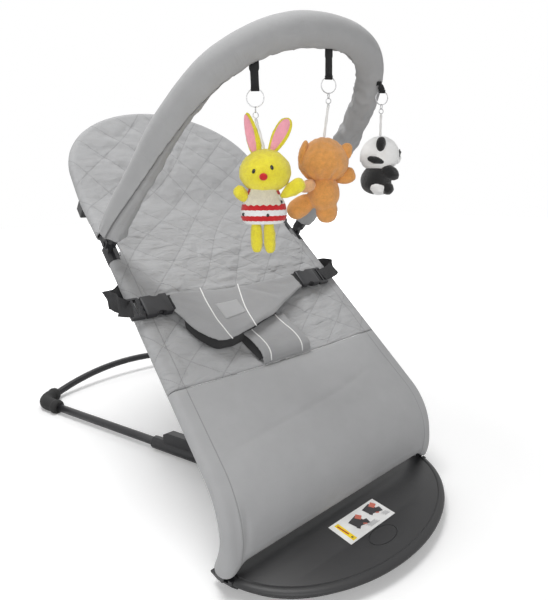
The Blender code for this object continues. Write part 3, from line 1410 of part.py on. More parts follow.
# each part of a figure: place (across, out, up from the crown), half sizes, lean and swing in degrees, taper
TOY_SHAPES = {
    "bunny": {
        "turn": 0.0,
        "shift": 0.0094,
        "limbs_apart": True,
        "plush": {"head": "yellow_plush", "body": "red_knit", "limbs": "yellow_plush"},
        "head": ((0, 0, -0.0240), (0.0295, 0.0240, 0.0238), (0, 0), 0.10),
        "body": ((0, 0, -0.0650), (0.0245, 0.0160, 0.0195), (0, 0), 0.22),
        "ears": (((-0.0145, -0.001, 0.0120), (0.0078, 0.0036, 0.0245), (12, 0), -0.10),
                 ((0.0150, -0.001, 0.0110), (0.0090, 0.0036, 0.0235), (-26, 0), -0.15)),
        "arms": (((-0.0275, 0.004, -0.0480), (0.0075, 0.0070, 0.0120), (-38, 0), -0.15),
                 ((0.0300, 0.006, -0.0430), (0.0080, 0.0070, 0.0150), (62, 0), -0.20)),
        "legs": (((-0.0110, 0, -0.1010), (0.0072, 0.0080, 0.0185), (0, 0), 0.12),
                 ((0.0055, 0, -0.1015), (0.0072, 0.0080, 0.0190), (4, 0), 0.12)),
    },
    "bear": {
        "turn": 168.0,
        "shift": -0.0057,
        "limbs_apart": True,
        "plush": {"head": "brown_plush", "body": "brown_plush", "limbs": "brown_plush"},
        "head": ((0, 0, -0.0265), (0.0310, 0.0270, 0.0265), (0, 0), 0.08),
        "body": ((-0.004, -0.001, -0.0660), (0.0205, 0.0190, 0.0225), (0, 0), 0.12),
        "ears": (((-0.0265, 0.000, -0.0155), (0.0095, 0.0050, 0.0125), (46, 0), 0.0),
                 ((0.0265, 0.000, -0.0165), (0.0095, 0.0050, 0.0125), (-46, 0), 0.0)),
        "arms": (((-0.0310, 0.006, -0.0485), (0.0085, 0.0085, 0.0155), (-96, 0), -0.20),
                 ((0.0215, 0.017, -0.0570), (0.0085, 0.0085, 0.0140), (48, 40), -0.15)),
        "legs": (((-0.0085, 0.004, -0.0900), (0.0110, 0.0120, 0.0190), (-4, 8), 0.15),
                 ((0.0265, 0.008, -0.0830), (0.0115, 0.0120, 0.0205), (56, 12), 0.15)),
    },
    "panda": {
        "turn": 82.0,
        "shift": 0.0,
        "limbs_apart": False,
        "plush": {"head": "white_plush", "body": "black_plush"},
        "head": ((0, 0, -0.0240), (0.0250, 0.0270, 0.0240), (0, 0), 0.06),
        "body": ((0, -0.001, -0.0600), (0.0220, 0.0225, 0.0190), (0, 0), 0.15),
        "ears": (((-0.0215, -0.002, -0.0090), (0.0080, 0.0045, 0.0110), (40, 0), 0.0),
                 ((0.0215, -0.002, -0.0090), (0.0080, 0.0045, 0.0110), (-40, 0), 0.0)),
        "arms": (((-0.0220, 0.012, -0.0560), (0.0080, 0.0080, 0.0155), (-22, 52), -0.12),
                 ((0.0220, 0.012, -0.0560), (0.0080, 0.0080, 0.0155), (22, 52), -0.12)),
        "legs": (((-0.0135, 0.021, -0.0715), (0.0088, 0.0088, 0.0130), (-10, 70), 0.10),
                 ((0.0135, 0.021, -0.0715), (0.0088, 0.0088, 0.0130), (10, 70), 0.10)),
    },
}


def toy_figure(name, toy, holder):
    """The plush figure on its string: the head with its ears, the body and the limbs."""
    shape = TOY_SHAPES[name]
    across, out = toy_axes(toy)
    spin = Matrix.Rotation(math.radians(shape["turn"]), 3, "Z")
    right, front, up = spin @ across, spin @ out, Vector((0, 0, 1))
    top = chain_foot(toy) - Vector((0, 0, GAP))
    crown = top - Vector((0, 0, toy["string"])) + across * shape["shift"]

    def solid(part, grow=0.0):
        place, radii, turn, taper = part
        centre = crown + right * place[0] + front * place[1] + up * place[2]
        axes = tilted(right, front, up, *turn)
        sides, rows = (12, 7) if part in (shape["head"], shape["body"]) else (8, 5)
        return blob(centre, [r + grow for r in radii], axes, taper, sides, rows)

    plush = shape["plush"]
    clear = 2 * GAP
    head = put(f"{name}_head", solid(shape["head"]), plush["head"], holder, sharp=70)
    for word, part in zip(("left", "right"), shape["ears"]):
        weld(head, guide(f"{name}_ear_{word}", solid(part)))
    string = tube([top, crown - up * STRING_SUNK], STRING_R, 6)
    weld(head, guide(f"{name}_string", string))
    body = put(f"{name}_body", solid(shape["body"]), plush["body"], holder, sharp=70)
    cut(body, guide(f"{name}_head_room", solid(shape["head"], clear)))
    for limb in ("arm", "leg"):
        for word, part in zip(("left", "right"), shape[f"{limb}s"]):
            if shape["limbs_apart"]:
                made = put(f"{name}_{limb}_{word}", solid(part), plush["limbs"], holder, sharp=70)
                cut(made, guide(f"{name}_{limb}_{word}_body_room", solid(shape["body"], clear)))
                if limb == "arm":
                    cut(made, guide(f"{name}_{limb}_{word}_head_room", solid(shape["head"], clear)))
            else:
                weld(body, guide(f"{name}_{limb}_{word}", solid(part)))
    if not shape["limbs_apart"]:
        cut(body, guide(f"{name}_head_room_after", solid(shape["head"], clear)))
    return head


def build():
    clear_scene()
    front_plate()
    plate_underside()
    grip_ring()
    plate_cap()
    plate_label()
    tube_clamp()
    hinge_brackets()
    hinge_pins()
    base_tubes()
    ratchet_rails()

    seat = carrier("seat_recline_axis", (0, HINGE_Y, HINGE_Z))
    seat_rails(seat)
    head_hoop(seat)
    seat_cloth(seat)
    prop_hangers(seat)
    toy_bar_clips(seat)
    harness(seat)

    prop = carrier("prop_axis", prop_pivot(), seat)
    prop_frame(prop)
    prop_shoe(prop)

    for word, side in (("left", -1), ("right", 1)):
        buckle_socket(word, side, seat)
        side_webbing(word, side, seat)
        slide = carrier(f"plug_slide_{word}", on_seat(BUCKLE_X[word], BUCKLE_S, BUCKLE_H), seat)
        buckle_plug(word, side, slide)

    bar = carrier("toy_bar_axis", bar_pivot(), seat)
    toy_bar(bar)
    toy_bar_knuckles(bar)
    for name, toy in TOYS.items():
        toy_strap(name, toy, bar)
        ring = carrier(f"{name}_ring_axis", hang_point(toy), bar)
        toy_ring(name, toy, ring)
        spin = carrier(f"{name}_spin_axis", chain_foot(toy), ring)
        toy_figure(name, toy, spin)


build()
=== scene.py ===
"""Baby bouncer, dressed: cloth, padding, harness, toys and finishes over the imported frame."""
import math

import bpy
from mathutils import Matrix, Vector, noise


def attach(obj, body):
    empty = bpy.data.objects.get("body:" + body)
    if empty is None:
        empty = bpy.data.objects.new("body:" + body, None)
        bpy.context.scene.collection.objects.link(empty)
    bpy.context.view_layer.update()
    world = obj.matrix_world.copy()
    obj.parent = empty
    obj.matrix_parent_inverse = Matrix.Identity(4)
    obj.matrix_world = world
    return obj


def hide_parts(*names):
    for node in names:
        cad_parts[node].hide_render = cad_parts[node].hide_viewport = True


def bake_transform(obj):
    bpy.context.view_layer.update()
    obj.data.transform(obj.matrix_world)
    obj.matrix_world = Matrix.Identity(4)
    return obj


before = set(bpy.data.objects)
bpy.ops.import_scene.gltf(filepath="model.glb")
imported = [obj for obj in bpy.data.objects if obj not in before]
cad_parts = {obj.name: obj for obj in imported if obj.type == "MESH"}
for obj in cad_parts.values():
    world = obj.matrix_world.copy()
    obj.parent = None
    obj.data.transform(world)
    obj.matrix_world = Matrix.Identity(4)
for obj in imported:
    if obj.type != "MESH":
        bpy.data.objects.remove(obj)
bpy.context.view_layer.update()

# the seat line, seen from the side
HINGE_Y, HINGE_Z = -0.010, 0.030
LEG_LEAN, LEG_RUN = math.radians(112), 0.004
KNEE_RADIUS, SEAT_ANGLE, SEAT_RUN = 0.093, math.radians(40.2), 0.4444
NECK_RADIUS, HEAD_ANGLE = 0.150, math.radians(55)
KNEE_TURN, NECK_TURN = LEG_LEAN - SEAT_ANGLE, HEAD_ANGLE - SEAT_ANGLE
SEAT_S = LEG_RUN + KNEE_RADIUS * KNEE_TURN
NECK_S = SEAT_S + SEAT_RUN

RAIL_FOOT, RAIL_SHOULDER, SHOULDER_S = 0.1905, 0.1785, 0.480
HOOP_S, HOOP_RISE = 0.633, 0.1265
CLOTH = 0.0022
SLEEVE_R = 0.0065 + 0.0010 + CLOTH / 2
CLOTH_FOOT_S, SEAM_S = 0.0135, 0.228
SAG, SAG_START, SAG_FULL, SAG_HEAD = 0.010, 0.060, 0.300, 0.003
SLEEVE_GAP, SLEEVE_BITE = (0.450, 0.508), 0.0115    # where the sleeve is open for the clip, and how deep
HANGER_S, HANGER_HALF = 0.585, 0.0125       # and slit underneath here for the prop's hanger
SIDE_X = 0.17                   # a border further out than this lies on a side rail
QUILT, STITCH = 0.047, 0.0030   # distance between two stitched lines, and one stitch with its gap
HEM_ROW = 0.0125                # from the rail's middle to the hem's stitched row
MOTTLE = 0.06                   # how far a cloth's shade strays from its colour

BAR_PIVOT_S, BAR_PIVOT_H, BAR_ANGLE = 0.473, 0.0184, math.radians(135)
PAD_R, PAD_END_R = 0.0183, 0.0112      # the padding's radius, and where it is drawn in at both ends

PLATE_HALF, PLATE_DEPTH, PLATE_REAR, PLATE_TOP = 0.1975, 0.1412, 0.010, 0.025
PLATE_ROUND, PLATE_FULL, PLATE_BACK = 0.0092, 0.0205, 0.0040
MARK_X, CAP_HALF, CAP_Y, LABEL_Y = -0.0035, (0.0228, 0.0123), -0.090, -0.056
BASE_R, BASE_Z, BASE_NARROW, BASE_SPREAD = 0.0074, 0.0135, 0.028, math.radians(19.5)
BASE_FRONT_Y, BASE_KNEE_Y, BASE_CORNER_Y, BASE_REAR_Y = -0.055, 0.087, 0.650, 0.700
KNEE_BEND, CORNER_BEND, BOW_RISE = 0.120, 0.034, 0.024
FOOT_REACH = 0.034              # how far a rubber corner runs forward on its side tube
FOOT_R, FOOT_SWELL, COLLAR = 0.0098, 0.0042, 0.0010     # a rubber corner's mouth, its swelling and its lip


# finishes

class Value:
    """A number that runs over a surface: a socket, with arithmetic."""

    def __init__(self, finish, socket):
        self.finish = finish
        self.socket = socket

    def reckon(self, operation, *others):
        return self.finish.add("Math", {"operation": operation}, self, *others)

    def __add__(self, other):
        return self.reckon("ADD", other)

    def __sub__(self, other):
        return self.reckon("SUBTRACT", other)

    def __mul__(self, other):
        return self.reckon("MULTIPLY", other)

    def __rsub__(self, other):
        return self * -1.0 + other

    __radd__ = __add__
    __rmul__ = __mul__

    def step(self, low, high):
        """0 below low, 1 above high, smooth between."""
        return self.finish.add("MapRange", {"interpolation_type": "SMOOTHSTEP"}, self, low, high, 0.0, 1.0)

    def sine(self):
        return self.reckon("SINE")

    def size(self):
        return self.reckon("ABSOLUTE")

    def away(self):
        """Distance to the nearest whole number."""
        return (self - self.reckon("ROUND")).reckon("ABSOLUTE")


class Finish:
    """A material in the making."""

    def __init__(self, name, colour, roughness, metallic=0.0, **constants):
        self.material = bpy.data.materials.new(name)
        self.material.use_nodes = True
        self.tree = self.material.node_tree
        self.shader = self.tree.nodes["Principled BSDF"]
        self.set("Base Color", colour)
        self.set("Roughness", roughness)
        self.set("Metallic", metallic)
        for socket, value in constants.items():
            self.set(socket.replace("_", " "), value)

    def link(self, target, value):
        if isinstance(value, Value):
            self.tree.links.new(value.socket, target)
        elif isinstance(value, tuple) and len(value) == 3 and target.type == "RGBA":
            target.default_value = (*value, 1.0)
        else:
            target.default_value = value

    def set(self, socket, value):
        self.link(self.shader.inputs[socket], value)

    def add(self, kind, settings, *values, out=0, **named):
        node = self.tree.nodes.new("ShaderNode" + kind)
        for name, value in settings.items():
            setattr(node, name, value)
        for target, value in zip(node.inputs, values):
            if value is not None:
                self.link(target, value)
        for name, value in named.items():
            self.link(node.inputs[name.replace("_", " ")], value)
        return Value(self, node.outputs[out])

    def place(self):
        """Object coordinates in metres."""
        return self.add("TexCoord", {}, out=3)

    def along(self):
        """The piece's own pattern coordinates in metres: across and along."""
        split = self.tree.nodes.new("ShaderNodeSeparateXYZ")
        self.tree.links.new(self.add("UVMap", {"uv_map": "pattern"}).socket, split.inputs[0])
        return Value(self, split.outputs[0]), Value(self, split.outputs[1])

    def noise(self, scale, detail=2.0, roughness=0.5, place=None, distortion=0.0):
        place = place or self.place()
        return self.add("TexNoise", {}, Vector=place, Scale=scale, Detail=detail, Roughness=roughness,
                        Distortion=distortion)

    def shades(self, amount, dark, light):
        """A colour between two, by an amount from 0 to 1."""
        mix = self.tree.nodes.new("ShaderNodeMix")
        mix.data_type = "RGBA"
        self.link(mix.inputs[0], amount)
        self.link(mix.inputs[6], dark)
        self.link(mix.inputs[7], light)
        return Value(self, mix.outputs[2])

    def bump(self, height, depth=1.0):
        """Relief: the height times that depth, in metres."""
        node = self.tree.nodes.new("ShaderNodeBump")
        node.inputs["Strength"].default_value = 1.0
        node.inputs["Distance"].default_value = depth
        self.link(node.inputs["Height"], height)
        self.tree.links.new(node.outputs[0], self.shader.inputs["Normal"])


def tint(colour, factor):
    """The colour made darker or lighter."""
    return tuple(min(1.0, c * factor) for c in colour)


def cloth_finish(name, colour, thread=0.0011, quilted=False, crease=0.0, hem=False, seam=False):
    """Woven cloth: threads across and along, soft mottling, small creases, and stitches if quilted."""
    made = Finish(name, colour, 0.9, Sheen_Weight=0.15, Sheen_Roughness=0.6)
    u, v = made.along()
    weave = (u * (2 * math.pi / thread)).sine() * (v * (2 * math.pi / thread)).sine()
    mottle = made.noise(38.0, 4.0, 0.6)
    fine = made.noise(900.0, 2.0, 0.6)
    amount = mottle * 0.6 + fine * 0.3 + weave * 0.05 + 0.05
    height = weave * 0.00006 + fine * 0.00012
    colour_now = made.shades(amount.step(0.15, 0.85), tint(colour, 1 - MOTTLE), tint(colour, 1 + MOTTLE))
    if crease:
        across = made.add("CombineXYZ", {}, u * 20.0, v * 58.0, 0.0)
        lively = (1 - v.step(0.44, 0.60)) * 0.75 + 0.25
        height = height + made.noise(1.0, 4.0, 0.55, across, 0.9) * lively * crease
    if quilted:
        line = 1.0
        for a, b in quilt_lines(u, v, lambda t: t.sine()):
            stitch = (b * (QUILT / STITCH)).away().step(0.06, 0.30) * 0.6 + 0.4
            near = 1 - a.away().step(0.006, 0.026)
            line = near * stitch if isinstance(line, float) else line.reckon("MAXIMUM", near * stitch)
            tuck = 1 - a.away().step(0.02, 0.16)
            height = height + tuck * made.noise(150.0, 2.0, 0.5) * 0.0007
        colour_now = made.shades(line * 0.42, colour_now, tint(colour, 0.50))
        height = height - line * 0.0003
    if hem:
        inside = (u.size() + v * ((RAIL_FOOT - RAIL_SHOULDER) / SHOULDER_S) - (RAIL_FOOT - HEM_ROW)).size()
        row = (1 - inside.step(0.0003, 0.0010)) * (1 - v.step(0.46, 0.48))
        colour_now = made.shades(row * 0.5, colour_now, tint(colour, 0.55))
        height = height - row * 0.0004
    if seam:
        row = 1 - u.size().step(0.0004, 0.0013)
        # painted shade: a soft dark band on one side of the seam, in the dip beside its ledge
        shade = 1 - (u + 0.0016).size().step(0.0, 0.004)
        sewn = made.shades(row * 0.60, colour_now, tint(colour, 0.14))
        colour_now = made.shades(shade * 0.25, sewn, tint(colour, 0.3))
        height = height - row * 0.0009
    made.set("Base Color", colour_now)
    made.set("Roughness", fine * 0.15 + 0.80)
    made.bump(height)
    return made.material


def quilt_lines(u, v, sine):
    """Both families of stitched lines: (number of the line, place along it), in spacings."""
    turn = 0.7071 / QUILT       # the lines cross the seat line at 45 degrees
    bend = sine(u * 31.0) * 0.10
    one = (u + v) * turn + sine(v * 24.0 + 1.2) * 0.16 + bend
    two = (v - u) * turn + sine(v * 21.0 + 0.3) * 0.16 - bend
    return ((one, two), (two, one))


def plastic_finish(name, colour, roughness, grain=0.00004, scale=1400.0, spread=0.12):
    """Moulded plastic with a fine grain and a few dull patches."""
    made = Finish(name, colour, roughness)
    grains = made.noise(scale, 2.0, 0.5)
    wear = made.noise(26.0, 4.0, 0.62)
    patches = made.shades(wear.step(0.25, 0.8), tint(colour, 1 - spread), tint(colour, 1 + spread))
    made.set("Base Color", patches)
    made.set("Roughness", wear * 0.16 + grains * 0.08 + (roughness - 0.12))
    made.bump(grains, grain)
    return made.material


def webbing_finish(name, colour):
    """Woven strap: fine ribs across it and along it."""
    made = Finish(name, colour, 0.8)
    u, v = made.along()
    ribs = (v * (2 * math.pi / 0.0016)).sine() * (u * (2 * math.pi / 0.0022)).sine()
    made.set("Base Color", made.shades(ribs * 0.5 + 0.5, tint(colour, 0.6), tint(colour, 2.3)))
    made.set("Roughness", made.noise(300.0) * 0.2 + 0.68)
    made.bump(ribs, 0.0004)
    return made.material


def plush_finish(name, colour, spread=0.22, depth=0.0016):
    """Short plush pile: tufts that catch the light, in clumps."""
    made = Finish(name, colour, 0.95, Sheen_Weight=0.35, Sheen_Roughness=0.5)
    pile = made.noise(1100.0, 3.0, 0.65)
    clumps = made.noise(170.0, 3.0, 0.6)
    amount = pile * 0.6 + clumps * 0.4
    tufts = made.shades(amount.step(0.30, 0.70), tint(colour, 1 - spread), tint(colour, 1 + spread * 0.6))
    made.set("Base Color", tufts)
    made.set("Roughness", pile * 0.1 + 0.86)
    made.bump(amount, depth)
    return made.material


def metal_finish(name, colour, roughness):
    """Bright wire or rod with faint dull marks."""
    made = Finish(name, colour, roughness, 1.0)
    marks = made.noise(700.0, 3.0, 0.6)
    made.set("Base Color", made.shades(marks.step(0.3, 0.8), tint(colour, 0.82), colour))
    made.set("Roughness", marks * 0.25 + (roughness - 0.1))
    made.bump(marks, 0.00003)
    return made.material


GREY = (0.368, 0.370, 0.376)
LOOKS = {
    "quilted": cloth_finish("quilted grey cloth", GREY, quilted=True, crease=0.0060, hem=True),
    "plain": cloth_finish("plain grey cloth", tint(GREY, 0.98), hem=True),
    "harness": cloth_finish("harness cloth", tint(GREY, 0.80), crease=0.0012),
    # near-black cloth on the undersides of the flap and strap and in the gaps under them: painted shade
    "lining": cloth_finish("painted shade black", (0.014, 0.014, 0.015)),
    "patch": cloth_finish("bare patch", tint(GREY, 1.02)),
    "padding": cloth_finish("toy bar cloth", (0.365, 0.366, 0.370), crease=0.0012, seam=True),
    "piping": cloth_finish("white piping", (0.83, 0.83, 0.82), 0.0009),
    "webbing": webbing_finish("black webbing", (0.010, 0.010, 0.011)),
    "black": plastic_finish("black plastic", (0.016, 0.016, 0.018), 0.42),
    "dark": plastic_finish("dark grey plastic", (0.016, 0.016, 0.017), 0.46, 0.00006, 900.0, 0.07),
    "tube": plastic_finish("black painted tube", (0.013, 0.013, 0.015), 0.34, 0.00002),
    "rubber": plastic_finish("black rubber", (0.012, 0.012, 0.012), 0.78, 0.00008, 600.0),
    "steel": metal_finish("steel wire", (0.62, 0.62, 0.63), 0.28),
    "yellow": plush_finish("yellow plush", (0.98, 0.80, 0.04)),
    "pink": plush_finish("pink plush", (0.95, 0.40, 0.48), 0.12, 0.0006),
    "brown": plush_finish("brown plush", (0.80, 0.36, 0.09)),
    "paw": plush_finish("light brown plush", (0.88, 0.50, 0.25)),
    "cream": plush_finish("cream crochet", (0.84, 0.78, 0.62), 0.16),
    "white": plush_finish("white plush", (0.94, 0.94, 0.93), 0.05),
    "soot": plush_finish("black plush", (0.006, 0.006, 0.0065), 0.4),
    "red": plush_finish("red felt", (0.60, 0.012, 0.016), 0.15, 0.0005),
    "bead": plastic_finish("black bead", (0.010, 0.010, 0.010), 0.22, 0.00001),
    "string": cloth_finish("white string", (0.93, 0.93, 0.92), 0.0009),
    "card": plastic_finish("label film", (0.84, 0.84, 0.83), 0.38, 0.00001),
    "print_dark": plastic_finish("dark print", (0.045, 0.043, 0.046), 0.40, 0.00001),
    "print_coral": plastic_finish("coral print", (0.62, 0.17, 0.12), 0.40, 0.00001),
    "print_yellow": plastic_finish("yellow print", (0.92, 0.66, 0.01), 0.40, 0.00001),
    "print_red": plastic_finish("dark red print", (0.42, 0.03, 0.02), 0.40, 0.00001),
    "print_pale": plastic_finish("pale print", (0.52, 0.52, 0.53), 0.40, 0.00001),
}


# making pieces

def only(obj):
    """Leaves this object alone selected and active."""
    for other in bpy.context.selected_objects:
        other.select_set(False)
    obj.select_set(True)
    bpy.context.view_layer.objects.active = obj


def shape(name, points, faces, look, pattern=None):
    """A mesh from its points and faces, shaded smooth, with pattern coordinates for its finish."""
    mesh = bpy.data.meshes.new(name)
    mesh.from_pydata([tuple(p) for p in points], [], faces)
    if pattern:
        layer = mesh.uv_layers.new(name="pattern")
        flat = []
        for loop in mesh.loops:
            flat.extend(pattern[loop.vertex_index])
        layer.data.foreach_set("uv", flat)
    mesh.materials.append(LOOKS[look])
    mesh.shade_smooth()
    obj = bpy.data.objects.new(name, mesh)
    bpy.context.scene.collection.objects.link(obj)
    return obj


def mark_pattern(obj, place):
    """Pattern coordinates in metres from each vertex's place."""
    layer = obj.data.uv_layers.get("pattern") or obj.data.uv_layers.new(name="pattern")
    flat = []
    for loop in obj.data.loops:
        flat.extend(place(obj.data.vertices[loop.vertex_index].co))
    layer.data.foreach_set("uv", flat)
    return obj


def outward(obj):
    """Turns every face of a closed piece outwards."""
    only(obj)
    bpy.ops.object.mode_set(mode="EDIT")
    bpy.ops.mesh.select_all(action="SELECT")
    bpy.ops.mesh.normals_make_consistent(inside=False)
    bpy.ops.object.mode_set(mode="OBJECT")
    return obj


def finish_with(obj, kind, **settings):
    """Puts a modifier on and applies it."""
    only(obj)
    made = obj.modifiers.new(kind.lower(), kind)
    for name, value in settings.items():
        setattr(made, name, value)
    bpy.ops.object.modifier_apply(modifier=made.name)
    return obj


SWELL_STEPS = 20                # frames of the cloth simulation


def swelled(obj, voxel, pressure, cap):
    """A closed soft piece blown up as its filling does, no point of it further than the cap."""
    finish_with(obj, "REMESH", mode="VOXEL", voxel_size=voxel)
    obj.data.shade_smooth()
    cloth = obj.modifiers.new("cloth", "CLOTH")
    cloth.settings.quality = 4
    cloth.settings.use_pressure = True
    cloth.settings.uniform_pressure_force = pressure
    cloth.settings.effector_weights.gravity = 0.0
    scene = bpy.context.scene
    for number in range(1, SWELL_STEPS + 1):
        scene.frame_set(number)
    now = obj.evaluated_get(bpy.context.evaluated_depsgraph_get())
    moved = [vert.co.copy() for vert in now.data.vertices]
    obj.modifiers.remove(cloth)
    scene.frame_set(1)
    for vert, new in zip(obj.data.vertices, moved):
        step = new - vert.co
        vert.co += step * min(1.0, cap / max(step.length, 1e-9))
    return finish_with(obj, "SUBSURF", levels=1)


def set_down(obj, body, slot, *nodes):
    """Gives a finished piece to its body and hides the solids that it stands for. slot is not used."""
    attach(obj, body)
    if nodes:
        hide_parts(*nodes)
    return obj


def lattice(rows, columns, closed=False, start=0):
    """Faces of a lattice of points, row by row. closed joins each row's ends."""
    faces = []
    reach = columns if closed else columns - 1
    for j in range(rows - 1):
        for i in range(reach):
            k = (i + 1) % columns
            a, b = start + j * columns + i, start + j * columns + k
            faces.append((a, b, b + columns, a + columns))
    return faces


def swept(name, path, look, radius, sides=24, frame_of=None, girth=0.012, seam_of=None):
    """A round piece along a path, closed at both ends.

    radius is a number or radius(i, turn), and frame_of(i) gives two directions across the path. The pattern's
    first coordinate is the turn times the girth, counted from seam_of(i) if that is given."""
    path = [Vector(p) for p in path]
    last = len(path) - 1
    side = None
    points, pattern = [], []
    run = 0.0
    for i, point in enumerate(path):
        head = (path[min(i + 1, last)] - path[max(i - 1, 0)]).normalized()
        if frame_of:
            side, up = frame_of(i)
        else:
            side = side or (Vector((1, 0, 0)) if abs(head.x) < 0.9 else Vector((0, 0, 1)))
            side = (side - head * side.dot(head)).normalized()
            up = head.cross(side)
        if i:
            run += (point - path[i - 1]).length
        for k in range(sides):
            turn = 2 * math.pi * k / sides
            r = radius(i, turn) if callable(radius) else radius
            points.append(point + (side * math.cos(turn) + up * math.sin(turn)) * r)
            pattern.append(((turn - (seam_of(i) if seam_of else 0.0)) * girth, run))
    faces = lattice(len(path), sides, True)
    for ring, end in ((0, path[0]), (last, path[last])):
        middle = len(points)
        points.append(end)
        pattern.append((0.0, 0.0))
        base = ring * sides
        for k in range(sides):
            faces.append((base + k, base + (k + 1) % sides, middle))
    obj = shape(name, points, faces, look, pattern)
    marks = obj.data.uv_layers["pattern"].data
    full = 2 * math.pi * girth
    for face in obj.data.polygons[:last * sides]:
        high = max(marks[i].uv.x for i in face.loop_indices)
        for i in face.loop_indices:
            if high - marks[i].uv.x > full / 2:
                marks[i].uv.x += full
    return outward(obj)


def through(a, b, c, d, t):
    """A smooth curve's place some share of the way from b to c, with a and d as their neighbours."""
    bend = 2 * a - 5 * b + 4 * c - d
    twist = 3 * b - a - 3 * c + d
    return 0.5 * (2 * b + (c - a) * t + bend * t * t + twist * t ** 3)


CURVE_STEPS = 24                # places worked out between two points before they are spaced evenly


def smooth_line(points, step):
    """Points at an even step along a smooth curve through the given ones."""
    points = [Vector(p) for p in points]
    ends = [points[0] * 2 - points[1]] + points + [points[-1] * 2 - points[-2]]
    fine = []
    for a, b, c, d in zip(ends, ends[1:], ends[2:], ends[3:]):
        fine.extend(through(a, b, c, d, k / CURVE_STEPS) for k in range(CURVE_STEPS))
    fine.append(points[-1])
    total = sum((q - p).length for p, q in zip(fine, fine[1:]))
    count = max(2, round(total / step))
    line = [fine[0]]
    gone, want = 0.0, total / count
    for p, q in zip(fine, fine[1:]):
        length = (q - p).length
        while gone + length >= want - 1e-9 and len(line) < count:
            line.append(p.lerp(q, (want - gone) / length))
            want += total / count
        gone += length
    line.append(fine[-1])
    return line


def rounded(before, corner, after, radius, count=12):
    """The arc that rounds one corner of a path."""
    before, corner, after = Vector(before), Vector(corner), Vector(after)
    come, leave = (corner - before).normalized(), (after - corner).normalized()
    turn = come.angle(leave)
    start = corner - come * radius * math.tan(turn / 2)
    inward = (leave - come * leave.dot(come)).normalized()
    centre = start + inward * radius
    turns = [turn * k / count for k in range(count + 1)]
    return [centre - inward * radius * math.cos(t) + come * radius * math.sin(t) for t in turns]


SHARP_EDGE = math.radians(40)   # edges that turn more than this stay sharp


def box_piece(name, size, look, bevel, place, segments=3):
    """A cube primitive at its size, its edges bevelled, then set in its place."""
    bpy.ops.object.select_all(action="DESELECT")
    bpy.ops.mesh.primitive_cube_add(size=1.0, location=(0, 0, 0))
    obj = bpy.context.object
    obj.name = name
    obj.data.transform(Matrix.Diagonal((*size, 1.0)))
    bpy.ops.object.mode_set(mode="EDIT")
    bpy.ops.mesh.select_all(action="SELECT")
    bpy.ops.mesh.bevel(offset=bevel, segments=segments, affect="EDGES")
    bpy.ops.object.mode_set(mode="OBJECT")
    mark_pattern(obj, lambda co: (co.y, co.x))
    obj.data.transform(place)
    obj.data.materials.append(LOOKS[look])
    only(obj)
    bpy.ops.object.shade_smooth_by_angle(angle=SHARP_EDGE)
    return obj


def joined(name, parts):
    """Several meshes as one piece."""
    only(parts[0])
    for part in parts[1:]:
        part.select_set(True)
    bpy.ops.object.join()
    parts[0].name = name
    return parts[0]


# the seat's own coordinates: x across, s along the seat line, h over the rails' centre

def seat_frame(s):
    """Place and directions at s: the line's middle, the way along it and the way it faces."""
    y, z, angle, left = HINGE_Y, HINGE_Z, LEG_LEAN, s
    runs = ((LEG_RUN, 0.0), (KNEE_RADIUS * KNEE_TURN, -1 / KNEE_RADIUS), (SEAT_RUN, 0.0),
            (NECK_RADIUS * NECK_TURN, 1 / NECK_RADIUS), (10.0, 0.0))
    for length, bend in runs:
        step = min(left, length)
        if bend:
            new = angle + bend * step
            y += (math.sin(new) - math.sin(angle)) / bend
            z += (math.cos(angle) - math.cos(new)) / bend
            angle = new
        else:
            y += step * math.cos(angle)
            z += step * math.sin(angle)
        left -= step
        if left <= 0:
            break
    along = Vector((0, math.cos(angle), math.sin(angle)))
    facing = Vector((0, -math.sin(angle), math.cos(angle)))
    return Vector((0, y, z)), along, facing


def on_seat(x, s, h):
    centre, _, facing = seat_frame(s)
    return centre + Vector((x, 0, 0)) + facing * h


def seat_place(x, s, h):
    """Matrix that sets a piece down on the seat, its y along the seat line and its z facing out."""
    _, along, facing = seat_frame(s)
    place = Matrix((Vector((1, 0, 0)), along, facing)).transposed().to_4x4()
    place.translation = on_seat(x, s, h)
    return place


def rail_x(s):
    """How far out the side rail's middle lies: the rails close in a little towards the shoulder."""
    return RAIL_FOOT + (RAIL_SHOULDER - RAIL_FOOT) * min(max(s / SHOULDER_S, 0.0), 1.0)


def sag(s):
    """How deep the cloth hangs under the rails in the middle."""
    if s < SAG_FULL:
        share = min(max((s - SAG_START) / (SAG_FULL - SAG_START), 0.0), 1.0)
        return SAG * share * share * (3 - 2 * share)
    return SAG + (SAG_HEAD - SAG) * min(max((s - NECK_S) / (HOOP_S - NECK_S), 0.0), 1.0)


def cloth_h(x, s):
    """Height of the cloth's middle over the rails' centre."""
    return SLEEVE_R - sag(s) * max(0.0, 1 - (x / rail_x(s)) ** 2)


def wave(x, y, z=0.0):
    """An uneven height between about -1 and 1, the same at each run."""
    return noise.noise(Vector((x, y, z)))


def ease(t):
    """0 up to 0, 1 from 1 on, smooth between."""
    t = min(max(t, 0.0), 1.0)
    return t * t * (3 - 2 * t)


